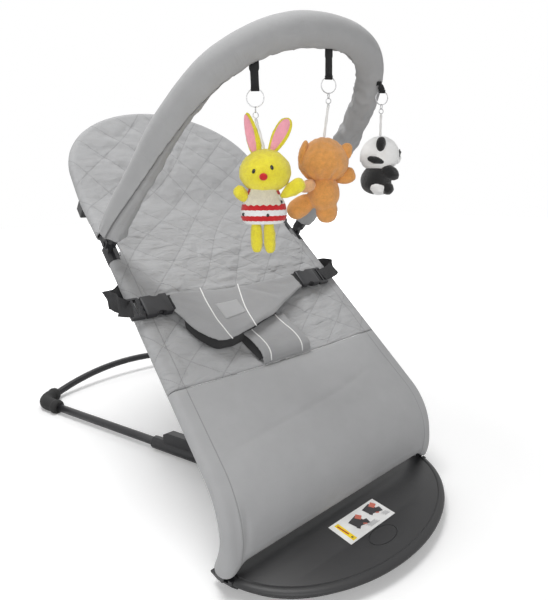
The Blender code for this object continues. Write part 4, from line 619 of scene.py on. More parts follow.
UPPER_FOLDS = (                 # the line of a fold through places (x, s), its half width and its height
    (((-0.168, 0.444), (-0.150, 0.415), (-0.140, 0.376)), 0.0055, 0.0026),
    (((-0.158, 0.440), (-0.134, 0.408), (-0.122, 0.380)), 0.0045, -0.0022),
    (((-0.173, 0.430), (-0.164, 0.400), (-0.157, 0.374)), 0.0045, -0.0020),
    (((-0.143, 0.447), (-0.100, 0.402), (-0.098, 0.376)), 0.0060, 0.0018),
    (((-0.060, 0.452), (-0.010, 0.446), (0.060, 0.458)), 0.0050, 0.0019),
    (((-0.048, 0.424), (0.010, 0.414), (0.070, 0.424)), 0.0048, 0.0020),
    (((-0.080, 0.408), (-0.040, 0.400), (0.020, 0.396)), 0.0045, -0.0018),
    (((-0.030, 0.398), (0.020, 0.390), (0.080, 0.400)), 0.0045, 0.0018),
    (((-0.060, 0.380), (-0.010, 0.374), (0.036, 0.376)), 0.0055, 0.0026),
    (((0.060, 0.372), (0.105, 0.392), (0.160, 0.400)), 0.0055, -0.0022),
    (((0.110, 0.366), (0.135, 0.380), (0.165, 0.384)), 0.0045, 0.0022),
    (((0.055, 0.272), (0.100, 0.276), (0.150, 0.270)), 0.0045, 0.0024),
    (((0.048, 0.292), (0.095, 0.298), (0.158, 0.290)), 0.0050, -0.0020),
    (((0.080, 0.315), (0.120, 0.322), (0.160, 0.312)), 0.0050, 0.0020),
    (((-0.150, 0.262), (-0.110, 0.270), (-0.070, 0.262)), 0.0060, 0.0014),
    (((-0.155, 0.325), (-0.140, 0.300), (-0.120, 0.280)), 0.0050, -0.0016),
)
LOWER_FOLDS = (
    (((-0.160, 0.132), (-0.096, 0.139), (-0.029, 0.145), (0.053, 0.153), (0.136, 0.169)), 0.0046, -0.0021),
    (((-0.150, 0.117), (-0.029, 0.130), (0.110, 0.150)), 0.0110, 0.0016),
    (((-0.100, 0.224), (-0.107, 0.207), (-0.129, 0.172)), 0.0060, -0.0009),
    (((-0.183, 0.012), (-0.178, 0.045), (-0.175, 0.085)), 0.0034, 0.0018),
    (((-0.174, 0.016), (-0.170, 0.040), (-0.168, 0.070)), 0.0034, -0.0013),
    (((0.183, 0.012), (0.178, 0.045), (0.175, 0.080)), 0.0034, 0.0016),
)


def fold_height(x, s, folds):
    """Height that the drawn folds give a place: each dies away across its line and at its ends."""
    height = 0.0
    for line, width, rise in folds:
        best, share = 9.0, 0.0
        for n, ((x0, s0), (x1, s1)) in enumerate(zip(line, line[1:])):
            dx, ds = x1 - x0, s1 - s0
            t = min(max(((x - x0) * dx + (s - s0) * ds) / (dx * dx + ds * ds), 0.0), 1.0)
            gap = math.hypot(x - x0 - dx * t, s - s0 - ds * t)
            if gap < best:
                best, share = gap, (n + t) / (len(line) - 1)
        if best < 3 * width:
            height += rise * math.exp(-(best / width) ** 2) * math.sin(math.pi * (0.04 + 0.92 * share)) ** 0.7
    return height


def upper_relief(x, s, edge):
    """Quilting and soft wrinkles of the upper cloth. edge is the distance to its border."""
    near = 1.0
    for a, _ in quilt_lines(x, s, math.sin):
        gap = abs(a - round(a)) * QUILT
        near *= 1 - math.exp(-(gap / 0.0065) ** 2)
    puff = 0.0018 * (near - 0.75)
    lively = 0.30 + 0.70 * math.exp(-((s - 0.37) / 0.090) ** 2)
    sway = 0.5 * wave(x * 9, s * 9, 1.3)
    wrinkles = 0.0026 * lively * wave(x * 13 + sway, s * 64 + 3 * sway, 3.1)
    wrinkles += 0.0013 * wave(x * 30, s * 50 + 2 * sway, 7.7)
    sharp = 1 - abs(wave(x * 21 + 2 * sway, s * 74 - x * 22, 2.2)) / 0.22
    wrinkles -= 0.0010 * lively * max(0.0, sharp)
    pucker = 0.0014 * (1 - near) * wave(x * 120, s * 120, 5.5)
    return (puff + wrinkles + pucker + fold_height(x, s, UPPER_FOLDS)) * ease(edge / 0.020)


def lower_relief(x, s, edge):
    """Long shallow pull lines and drawn folds of the plain cloth. edge is the distance to its border."""
    pull = 0.0011 * wave(x * 6 - s * 9, s * 7 + x * 4, 2.2) + 0.0004 * wave(x * 26 - s * 30, s * 22, 5.0)
    return pull * ease(edge / 0.03) + fold_height(x, s, LOWER_FOLDS) * ease(edge / 0.006)


def foot_share(s):
    """1 at the cloth's foot, 0 a little way up."""
    return ease(1 - (s - CLOTH_FOOT_S) / 0.034)


def foot_s(x, s):
    """The cloth's foot reaches lower at its corners, over the hinges."""
    return s - 0.0100 * foot_share(s) * ease((abs(x) - 0.166) / 0.022)


def sleeve_r(s):
    """The sleeve widens at its foot to go over the hinge."""
    return SLEEVE_R + 0.0036 * foot_share(s)


SLEEVE_STEPS, SLEEVE_TURN = 12, 15      # faces round the tube, and what each turns in degrees


def sleeve_strip(x, s, out):
    """The cloth from its border round the tube and back up to the sheet: (point, distance) pairs."""
    radius = sleeve_r(s)
    centre, along, facing = seat_frame(foot_s(x, s))
    middle = centre + Vector((x, 0, 0))
    outward_now = Vector((1, 0, 0)) * out.x + along * out.y
    strip = []
    for k in range(1, SLEEVE_STEPS + 1):
        turn = math.radians(90 - SLEEVE_TURN * k)
        way = outward_now * math.cos(turn) + facing * math.sin(turn)
        strip.append((middle + way * radius, radius * math.radians(SLEEVE_TURN * k)))
    low = strip[-1][1]
    top = radius + SLEEVE_R - CLOTH
    hem = ((0.005, 0.0004), (0.009, 0.0030), (0.0125, 0.0080), (0.0155, 0.0125), (0.0185, top))
    for back, rise in hem:
        strip.append((middle - outward_now * back + facing * (rise - radius), low + back))
    return strip


SHEET_COLUMNS = 124             # steps across a seat cloth
SLEEVE_UNDER = 8                # from this step round the tube on, the sleeve lies under it


def sheet_piece(name, look, rows, relief, cap=0, window=None, slot_at=None):
    """A cloth over the seat frame: straight rows and a sleeve all round.

    cap is the number of rows in the head's half round, window is where the sleeve is open along the seat line
    on both sides, and slot_at is where its underside is slit."""
    count = SHEET_COLUMNS
    points, pattern, border_left, border_right, border_top = [], [], [], [], []

    def vertex(x, s, edge):
        if s <= HOOP_S:
            h = cloth_h(x, s) + (sleeve_r(s) - SLEEVE_R) * ease((abs(x) - 0.172) / 0.018)
        else:
            h = SLEEVE_R - SAG_HEAD * (1 - (x / RAIL_SHOULDER) ** 2 - ((s - HOOP_S) / HOOP_RISE) ** 2)
        points.append(on_seat(x, foot_s(x, s), h + relief(x, s, edge)))
        pattern.append((x, s))

    for s in rows:
        half = rail_x(s)
        for i in range(count + 1):
            u = 2 * i / count - 1
            vertex(half * u, s, half * (1 - abs(u)))
        border_left.append((len(points) - count - 1, -half, s, Vector((-1, 0))))
        border_right.append((len(points) - 1, half, s, Vector((1, 0))))
    for j in range(1, cap + 1):
        t = j / cap
        for i in range(count + 1):
            u = 2 * i / count - 1
            across, up = u * math.sqrt(1 - t * t / 2), t * math.sqrt(1 - u * u / 2)
            vertex(across * RAIL_SHOULDER, HOOP_S + up * HOOP_RISE, (1 - math.hypot(across, up)) * HOOP_RISE)
            if i in (0, count) or j == cap:
                out = Vector((across / RAIL_SHOULDER, up / HOOP_RISE)).normalized()
                place = (len(points) - 1, across * RAIL_SHOULDER, HOOP_S + up * HOOP_RISE, out)
                (border_top if j == cap else border_left if i == 0 else border_right).append(place)
    faces = lattice(len(rows) + cap, count + 1)
    runs = [border_left + border_top + border_right[::-1]] if cap else [border_left, border_right[::-1]]
    for run in runs:
        strips = []
        for index, x, s, out in run:
            strip = [index]
            for point, reach in sleeve_strip(x, s, out):
                strip.append(len(points))
                points.append(point)
                pattern.append((x + out.x * reach, s + out.y * reach))
            strips.append((strip, x, s))
        for (one, x, s), (two, _, s_two) in zip(strips, strips[1:]):
            middle = (s + s_two) / 2
            for i in range(len(one) - 1):
                if window and window[0] < middle < window[1] and abs(x) > SIDE_X:
                    continue
                if slot_at and abs(middle - slot_at) < HANGER_HALF and i >= SLEEVE_UNDER and abs(x) > SIDE_X:
                    continue
                faces.append((one[i], one[i + 1], two[i + 1], two[i]))
    if window:
        faces = [face for face in faces if not in_window(face, pattern, window)]
    obj = outward(shape(name, points, faces, look, pattern))
    return finish_with(obj, "SOLIDIFY", thickness=CLOTH, offset=0.0)


def in_window(face, pattern, window):
    """Whether a face of the sheet lies in the round bite that the sleeve's opening takes out of it."""
    x = sum(pattern[i][0] for i in face) / len(face)
    s = sum(pattern[i][1] for i in face) / len(face)
    bite = SLEEVE_BITE * math.sqrt(max(0.0, 1 - ((s - sum(window) / 2) / (window[1] - window[0]) * 2) ** 2))
    return window[0] < s < window[1] and rail_x(s) - bite < abs(x) < 0.19


def even(start, end, step):
    """Numbers from start to end, as near to the step as they come out even."""
    count = max(1, round((end - start) / step))
    return [start + (end - start) * k / count for k in range(count + 1)]


SEAM_GAP = 0.0006               # from the seam to each cloth's first row


def seat_cloths():
    """The plain lower cloth and the quilted upper one, sewn together at the seam."""
    lower_rows = even(CLOTH_FOOT_S, SEAM_S - SEAM_GAP, 0.0030)
    upper_rows = even(SEAM_S + SEAM_GAP, HOOP_S, 0.0028)

    def lower(x, s, edge):
        roll = -0.0012 * ease(1 - (SEAM_S - s) / 0.003)
        roll += 0.0006 * ease(1 - abs(s - CLOTH_FOOT_S - 0.009) / 0.003)
        return lower_relief(x, s, edge) * ease((s - CLOTH_FOOT_S) / 0.03) * ease((SEAM_S - s) / 0.02) + roll

    def upper(x, s, edge):
        roll = -0.0012 * ease(1 - (s - SEAM_S) / 0.003)
        return upper_relief(x, s, edge) * ease((s - SEAM_S) / 0.012) + roll

    under = sheet_piece("lower_cloth_sheet", "plain", lower_rows, lower)
    set_down(under, "seat", "plain_cloth", "seat_cloth_lower")
    over = sheet_piece("quilted_cloth_sheet", "quilted", upper_rows, upper, 40, SLEEVE_GAP, HANGER_S)
    set_down(over, "seat", "quilted_cloth", "seat_cloth_upper")


# toy bar

def bar_pivot():
    return on_seat(0, BAR_PIVOT_S, BAR_PIVOT_H)


BAR_RISE = Vector((0, math.cos(BAR_ANGLE), math.sin(BAR_ANGLE)))
BAR_OUT = Vector((0, -math.sin(BAR_ANGLE), math.cos(BAR_ANGLE)))
BAR_LINE = (                    # middle of the padding: x, height over the pivot
    (-0.1838, 0.0190), (-0.1810, 0.060), (-0.1715, 0.118), (-0.1585, 0.195), (-0.1430, 0.248),
    (-0.1219, 0.2890), (-0.0890, 0.3225), (-0.0503, 0.3425), (-0.0150, 0.3505), (0.0203, 0.3525),
    (0.0500, 0.3495), (0.0815, 0.3385), (0.1090, 0.3180), (0.1300, 0.2870), (0.1455, 0.2450),
    (0.1560, 0.195), (0.1700, 0.118), (0.1805, 0.060), (0.1838, 0.0190),
)


def on_bar(x, up):
    """A place in the arch's plane: across it, and up from the pivot."""
    return bar_pivot() + Vector((x, 0, 0)) + BAR_RISE * up


BAR_PATH = smooth_line([on_bar(x, up) for x, up in BAR_LINE], 0.0032)


def bar_frame(i):
    """Inward and outward-facing directions of the padding at a step of its path."""
    last = len(BAR_PATH) - 1
    head = (BAR_PATH[min(i + 1, last)] - BAR_PATH[max(i - 1, 0)]).normalized()
    inward = BAR_OUT.cross(head) * -1
    if inward.dot(on_bar(0, 0.15) - BAR_PATH[i]) < 0:
        inward = -inward
    return inward.normalized(), BAR_OUT.copy()


def bar_step(x):
    """Step of the path over some place across the arch's upper part."""
    def miss(i):
        low = (BAR_PATH[i] - on_bar(0, 0)).length <= 0.15
        return abs(BAR_PATH[i].x - x) + (1 if low else 0)

    return min(range(len(BAR_PATH)), key=miss)


STRAPS = {                      # place across the arch, width
    "bunny": (-0.0960, 0.0100), "bear": (0.0050, 0.0090), "panda": (0.1150, 0.0085),
}


def seam_turn(share):
    """Where the padding's closing seam runs round the arch, some share of the way from its left foot."""
    return 0.92 + 1.58 * max(0.0, 1 - share / 0.45) ** 1.2 - 1.5 * ease((share - 0.50) / 0.2)


def toy_bar_padding():
    """The padded sleeve: a flap edge runs along it, both ends are gathered and the straps pinch it."""
    last = len(BAR_PATH) - 1
    runs = [0.0]
    for p, q in zip(BAR_PATH, BAR_PATH[1:]):
        runs.append(runs[-1] + (q - p).length)
    total = runs[last]
    pinched = [runs[bar_step(x)] for x, _ in STRAPS.values()]

    def radius(i, turn):
        run = runs[i]
        end = min(run, total - run)
        r = PAD_END_R + (PAD_R - PAD_END_R) * ease(end / 0.009) ** 0.5
        gather = math.exp(-end / 0.014)
        r += 0.0015 * gather * math.sin(turn * 9 + 1.7 * math.sin(turn * 2)) * ease(end / 0.003)
        r += 0.0009 * wave(math.cos(turn) * 1.1, math.sin(turn) * 1.1, run * 14)
        inside = 0.5 + 0.5 * math.cos(turn)
        r += 0.0019 * inside * wave(turn * 0.9, run * 75, 4.0)
        seam = (turn - seam_turn(run / total) + math.pi) % (2 * math.pi) - math.pi
        r += 0.0020 * math.exp(-seam / 0.60) if seam > 0 else -0.0011 * math.exp(-(seam / 0.22) ** 2)
        r -= 0.0006 * ease(-seam / 0.2) * ease((seam + 0.9) / 0.3) * (1 + wave(run * 40, 2.0, 6.0))
        far = ease((run / total - 0.62) / 0.1) * ease((0.99 - run / total) / 0.1)
        crumple = 0.0030 * wave(turn * 1.6, run * 58, 9.0)
        r += far * (crumple + 0.0022 * wave(turn * 2.4 + run * 60, run * 95, 1.0))
        for place in pinched:
            r -= 0.0012 * math.exp(-((run - place) / 0.007) ** 2) * inside
        return r

    def seam_at(i):
        return seam_turn(runs[i] / total)

    pad = swept("toy_bar_padding", BAR_PATH, "padding", radius, 72, bar_frame, 0.018, seam_at)
    set_down(pad, "toy_bar", "bar_cloth", "toy_bar_pad")


TOYS = {                        # top of the ring, its turn in degrees, its radius, the string's length
    "bunny": ((-0.0891, 0.0442, 0.5625), -39.5, 0.0096, 0.0310),
    "bear": ((0.0053, 0.0233, 0.5820), -28.0, 0.0090, 0.0380),
    "panda": ((0.1252, 0.0384, 0.5815), -28.0, 0.0088, 0.0290),
}


STRAP_SECTION = (               # round a flat strap, in half breadths and half thicknesses
    (-1, -0.5), (-0.94, -1), (0, -1), (0.94, -1), (1, -0.5),
    (1, 0.5), (0.94, 1), (0, 1), (-0.94, 1), (-1, 0.5),
)


def ribbon(name, middles, breadths, faces_out, thick, look):
    """A flat strap along a line: its middles, half breadth vectors and facing vectors."""
    points, pattern = [], []
    run = 0.0
    for i, (middle, breadth, face) in enumerate(zip(middles, breadths, faces_out)):
        if i:
            run += (middle - middles[i - 1]).length
        for a, b in STRAP_SECTION:
            points.append(middle + breadth * a + face * b * thick / 2)
            pattern.append((a * breadth.length, run))
    count = len(STRAP_SECTION)
    faces = lattice(len(middles), count, True)
    faces.append(tuple(range(count)))
    faces.append(tuple(len(points) - 1 - i for i in range(count)))
    return outward(shape(name, points, faces, look, pattern))


def toy_axes(turn):
    """The way across a ring turned about the upright, and the way it faces."""
    turn = math.radians(turn)
    return Vector((math.cos(turn), math.sin(turn), 0)), Vector((math.sin(turn), -math.cos(turn), 0))


SADDLE_REACH, SADDLE_STEPS, TAB_STEPS = 13, 12, 16      # reach in degrees to each side, and steps
SADDLE_THICK, TAB_THICK, EYE_R = 0.0012, 0.0030, 0.0026


def toy_strap(name):
    """A webbing tab sewn on under the padding, folded round the toy's ring at its foot."""
    x, width = STRAPS[name]
    hang, turn, _, _ = TOYS[name]
    hang = Vector(hang)
    step = bar_step(x)
    centre = BAR_PATH[step]
    head = (BAR_PATH[step + 1] - BAR_PATH[step - 1]).normalized()
    down = (hang - centre - head * (hang - centre).dot(head)).normalized()
    side = head.cross(down)
    middles, breadths, outs = [], [], []
    for k in range(SADDLE_STEPS + 1):
        angle = math.radians(SADDLE_REACH * (2 * k / SADDLE_STEPS - 1))
        out = down * math.cos(angle) + side * math.sin(angle)
        middles.append(centre + out * (PAD_R - 0.0012))
        breadths.append(head * width / 2)
        outs.append(out)
    saddle = ribbon(f"{name}_saddle", middles, breadths, outs, SADDLE_THICK, "webbing")
    across, _ = toy_axes(turn)
    foot = centre + down * (PAD_R - 0.0016)
    run = (hang - foot).normalized()
    middles, breadths, outs = [], [], []
    for k in range(TAB_STEPS + 1):
        share = k / TAB_STEPS
        middle = foot.lerp(hang + Vector((0, 0, 0.0012)), share)
        breadth = (head * (1 if head.dot(across) > 0 else -1)).lerp(across, ease(share)).normalized()
        breadth = (breadth - run * breadth.dot(run)).normalized()
        middles.append(middle)
        folded = 1.12 - 0.20 * ease((share - 0.30) / 0.05)
        breadths.append(breadth * width / 2 * folded)
        outs.append(breadth.cross(run))
    tab = ribbon(f"{name}_tab", middles, breadths, outs, TAB_THICK, "webbing")
    eye_line = [hang + across * d * width / 2 - Vector((0, 0, 0.0004)) for d in (-0.94, -0.5, 0, 0.5, 0.94)]
    eye = swept(f"{name}_eye", eye_line, "webbing", EYE_R, 16)
    set_down(joined(f"{name}_webbing_loop", [saddle, tab, eye]), "toy_bar", "webbing", f"{name}_strap")


def wire_ring(name, centre, across, up, radius, wire, turns=1.0, rise=0.0, count=48):
    """A ring of round wire, closed, or wound more than once."""
    facing = across.cross(up)
    steps = round(count * turns)
    line = []
    for k in range(steps + 1):
        angle = 2 * math.pi * turns * k / steps
        place = centre + across * radius * math.cos(angle) + up * radius * math.sin(angle)
        line.append(place + facing * rise * (k / steps - 0.5))
    return swept(name, line, "steel", wire, 10)


LINK_R, LINK_WIRE = 0.0032, 0.0006      # a link's radius in the frame, and the radius of its wire
LINK_LINE, LINK_STEP = 0.0030, 0.0058   # a link's radius as drawn here, and the step from one to the next
SPLIT_WIRE, SPLIT_TURNS, SPLIT_RISE = 0.00055, 1.9, 0.0013


def toy_hook(name):
    """The split ring and the two links under it."""
    hang, turn, radius, _ = TOYS[name]
    across, out = toy_axes(turn)
    down = Vector((0, 0, -1))
    centre = Vector(hang) + down * radius
    drop = radius + LINK_R - 0.0005
    low = centre + down * (drop + LINK_STEP)
    parts = [
        wire_ring(f"{name}_split_ring", centre, across, down, radius, SPLIT_WIRE, SPLIT_TURNS, SPLIT_RISE),
        wire_ring(f"{name}_link", centre + down * drop, out, down, LINK_LINE, LINK_WIRE, 1.0, 0.0, 28),
        wire_ring(f"{name}_link_low", low, across, down, LINK_LINE, LINK_WIRE, 1.0, 0.0, 28),
    ]
    set_down(joined(f"{name}_ring_and_links", parts), f"{name}_hook", "steel", f"{name}_ring")


def chain_foot(name):
    """Where the chain ends and the toy's string begins."""
    hang, _, radius, _ = TOYS[name]
    length = 2 * radius + 2 * LINK_R + 2 * LINK_R - 0.8 * LINK_WIRE * 2 + LINK_WIRE
    return Vector(hang) - Vector((0, 0, length))


def ball(name, centre, radii, axes, look, taper=0.0, rough=0.0, detail=(32, 20), blunt=0.0, gather=0.0):
    """A stuffed shape from a sphere primitive.

    taper makes it fuller low down, blunt straight sided, gather creased underneath and rough uneven."""
    bpy.ops.object.select_all(action="DESELECT")
    segments, rings = detail
    bpy.ops.mesh.primitive_uv_sphere_add(segments=segments, ring_count=rings, radius=1.0, location=(0, 0, 0))
    obj = bpy.context.object
    obj.name = name
    across, depth, up = axes
    for vert in obj.data.vertices:
        x, y, z = vert.co
        girth = (1 - taper * z) * (1.0001 - z * z) ** (-blunt / 2)
        girth *= 1 - gather * ease((-z - 0.25) / 0.5) * (1 + math.sin(11 * math.atan2(y, x))) / 2
        point = centre + across * x * radii[0] * girth + depth * y * radii[1] * girth + up * z * radii[2]
        if rough:
            way = (point - centre).normalized()
            tufts = wave(point.x * 160, point.y * 160, point.z * 160)
            tufts += 0.6 * wave(point.x * 520, point.y * 520, point.z * 520)
            point += way * rough * tufts
        vert.co = point
    obj.data.materials.append(LOOKS[look])
    obj.data.shade_smooth()
    return outward(obj)


def tilted(across, depth, up, lean, swing):
    """A part's three axes, leant sideways and swung forward, in degrees."""
    turn = Matrix.Rotation(math.radians(-swing), 3, across) @ Matrix.Rotation(math.radians(lean), 3, depth)
    return turn @ across, turn @ depth, turn @ up


# each figure's own turn in degrees and shift across, and for each part its place from the crown
# (right, front, up), its half sizes, its lean and swing in degrees, and its taper
FIGURES = {
    "bunny": {
        "turn": 0.0, "shift": 0.0094,
        "head": ((0, 0, -0.0256), (0.0298, 0.0245, 0.0244), (0, 0), 0.08),
        "ears": (((-0.0135, -0.001, 0.0130), (0.0076, 0.0036, 0.0255), (13, 0), 0.22),
                 ((0.0160, -0.001, 0.0105), (0.0088, 0.0036, 0.0242), (-30, 0), -0.34)),
        "arms": (((-0.0275, 0.004, -0.0508), (0.0074, 0.0072, 0.0104), (42, 0), -0.18),
                 ((0.0308, 0.006, -0.0462), (0.0080, 0.0062, 0.0160), (-58, 0), -0.38)),
        "legs": (((-0.0116, 0, -0.1000), (0.0069, 0.0076, 0.0190), (0, 0), 0.04),
                 ((0.0038, 0, -0.1005), (0.0069, 0.0076, 0.0195), (2, 0), 0.04)),
    },
    "bear": {
        "turn": 168.0, "shift": -0.0057,
        "head": ((0, 0, -0.0262), (0.0306, 0.0270, 0.0268), (0, 0), 0.13),
        "body": ((-0.001, -0.001, -0.0650), (0.0196, 0.0185, 0.0230), (0, 0), 0.06),
        "ears": (((-0.0255, -0.004, -0.0178), (0.0084, 0.0052, 0.0122), (26, 0), 0.0),
                 ((0.0252, -0.007, -0.0170), (0.0052, 0.0080, 0.0140), (16, 0), 0.0)),
        "arms": (((-0.0272, 0.004, -0.0462), (0.0088, 0.0066, 0.0135), (66, 0), -0.42),
                 ((0.0205, -0.012, -0.0572), (0.0072, 0.0080, 0.0105), (64, -20), -0.20)),
        "legs": (((-0.0050, 0.003, -0.0855), (0.0136, 0.0128, 0.0172), (-4, 6), 0.08),
                 ((0.0268, 0.006, -0.0815), (0.0130, 0.0128, 0.0196), (56, 10), 0.10)),
    },
    "panda": {
        "turn": 82.0, "shift": 0.0,
        "head": ((0, 0, -0.0240), (0.0253, 0.0273, 0.0244), (0, 0), 0.06),
        "body": ((0, -0.0040, -0.0575), (0.0222, 0.0216, 0.0212), (0, 0), 0.10),
        "ears": (((-0.0226, -0.0050, -0.0135), (0.0044, 0.0062, 0.0110), (4, 0), -0.34),
                 ((0.0226, -0.0050, -0.0135), (0.0044, 0.0062, 0.0110), (-4, 0), -0.34)),
        "arms": (((-0.0165, 0.0110, -0.0495), (0.0088, 0.0092, 0.0135), (-8, 62), -0.08),
                 ((0.0165, 0.0110, -0.0495), (0.0088, 0.0092, 0.0135), (8, 62), -0.08)),
        "legs": (((-0.0140, 0.0085, -0.0700), (0.0088, 0.0082, 0.0098), (-4, 40), 0.05),
                 ((0.0140, 0.0085, -0.0700), (0.0088, 0.0082, 0.0098), (4, 40), 0.05)),
    },
}


class Figure:
    """One plush figure: where its parts lie, and the making of them."""

    def __init__(self, name):
        self.name = name
        self.shape = FIGURES[name]
        _, turn, _, string = TOYS[name]
        across, out = toy_axes(turn)
        spin = Matrix.Rotation(math.radians(self.shape["turn"]), 3, "Z")
        self.axes = (spin @ across, spin @ out, Vector((0, 0, 1)))
        self.top = chain_foot(name)
        self.crown = self.top - Vector((0, 0, string)) + across * self.shape["shift"]

    def at(self, right, front, up):
        """A place measured from the crown of the head in the figure's own directions."""
        a, b, c = self.axes
        return self.crown + a * right + b * front + c * up

    def part(self, label, part, look, rough=0.0007, **more):
        """A head, body, ear or limb."""
        place, radii, turn, taper = part
        axes = tilted(*self.axes, *turn)
        return ball(f"{self.name}_{label}", self.at(*place), radii, axes, look, taper, rough, **more)

    def spot(self, label, look, host, across, up, size, lift=0.35, lean=0.0):
        """A small shape set on the front of the head or body."""
        place, radii, _, taper = host
        girth = 1 - taper * (up / radii[2])
        x, z = across / (radii[0] * girth), up / radii[2]
        depth = math.sqrt(max(0.0, 1 - x * x - z * z)) * radii[1] * girth
        slope = (across / (radii[0] * girth) ** 2, depth / (radii[1] * girth) ** 2, up / radii[2] ** 2)
        normal = Vector(slope).normalized()
        right, front, high = self.axes
        centre = self.at(place[0] + across, place[1] + depth, place[2] + up)
        facing = right * normal.x + front * normal.y + high * normal.z
        side = (right - facing * right.dot(facing)).normalized()
        rise = facing.cross(side) * -1
        if rise.z < 0:
            rise = -rise
        turn = Matrix.Rotation(math.radians(lean), 3, facing)
        return ball(f"{self.name}_{label}", centre + facing * size[2] * lift, (size[0], size[2], size[1]),
                    (turn @ side, facing, turn @ rise), look, 0.0, 0.0, (20, 12))

    def string(self):
        """The white cord from the chain to the head, in two turned strands."""
        foot = self.crown - Vector((0, 0, 0.004))
        line = [self.top.lerp(foot, k / 10) for k in range(11)]

        def strands(i, turn):
            return 0.0015 + 0.00025 * math.cos(2 * (turn - i * 0.9))

        return swept(f"{self.name}_cord", line, "string", strands, 14)


DRESS = (                       # height under the crown, half width
    (-0.0420, 0.0150), (-0.0460, 0.0165), (-0.0520, 0.0195), (-0.0580, 0.0225), (-0.0640, 0.0250),
    (-0.0700, 0.0262), (-0.0770, 0.0262), (-0.0820, 0.0240), (-0.0852, 0.0205),
)
DRESS_DEPTH = 0.70              # share of the half width
DRESS_SHIFT = -0.0024           # the dress hangs a little to one side of the head
DRESS_BANDS = (                 # height of a knitted band's top and foot, and its colour
    (-0.0430, -0.0520, "red"), (-0.0515, -0.0585, "white"), (-0.0580, -0.0625, "white"),
    (-0.0618, -0.0692, "red"), (-0.0688, -0.0757, "white"), (-0.0752, -0.0815, "red"),
    (-0.0811, -0.0850, "white"),
)
KNIT_ROWS, KNIT_STEPS, STITCHES = 8, 96, 24     # of one band: rows, steps round it, stitches round it


def dress_half(z):
    """Half width of the dress at some height."""
    for (high, wide), (low, narrow) in zip(DRESS, DRESS[1:]):
        if high >= z >= low:
            return wide + (narrow - wide) * (high - z) / (high - low)
    return DRESS[0][1] if z > DRESS[0][0] else DRESS[-1][1]


def dress_point(made, turn, z, puff):
    """A point of the dress's outside; turn is 0 at the figure's right and a quarter at its front."""
    half = dress_half(z) + puff
    return made.at(DRESS_SHIFT + math.cos(turn) * half, math.sin(turn) * half * DRESS_DEPTH, z)


def knit_band(made, label, top, foot, look, closed=False):
    """A knitted band round the dress, its stitches as rows of lobes. closed shuts the dress below it."""
    rows, count = KNIT_ROWS, KNIT_STEPS
    points = []
    for j in range(rows + 1):
        z = top + (foot - top) * j / rows
        for i in range(count):
            turn = 2 * math.pi * i / count
            lobe = 0.0005 * (1 + math.sin(turn * STITCHES + j * math.pi / 2))
            points.append(dress_point(made, turn, z, lobe * (0.3 if j in (0, rows) else 1.0)))
    faces = lattice(rows + 1, count, True)
    if closed:
        middle = made.at(DRESS_SHIFT, 0, foot)
        for share in (0.7, 0.35):
            for i in range(count):
                edge = points[rows * count + i]
                points.append(middle.lerp(edge, share) - Vector((0, 0, 0.0010 * (1 - share))))
        faces = lattice(rows + 3, count, True)
        faces.append(tuple(range((rows + 2) * count, (rows + 3) * count)))
    obj = outward(shape(f"{made.name}_{label}", points, faces, look))
    if not closed:
        finish_with(obj, "SOLIDIFY", thickness=0.0006, offset=-1.0)
    return obj


YOKE_ROWS, YOKE_COLUMNS, YOKE_TOP, YOKE_DROP = 22, 48, -0.0425, 0.0200
YOKE_START, YOKE_SWEEP = 40, 100        # degrees round the dress, from the figure's right
YOKE_SCALLOP = 0.0016
DRESS_DOTS = ((-0.0225, -0.0735), (0.0046, -0.0745), (0.0195, -0.0600))    # across the dress, height


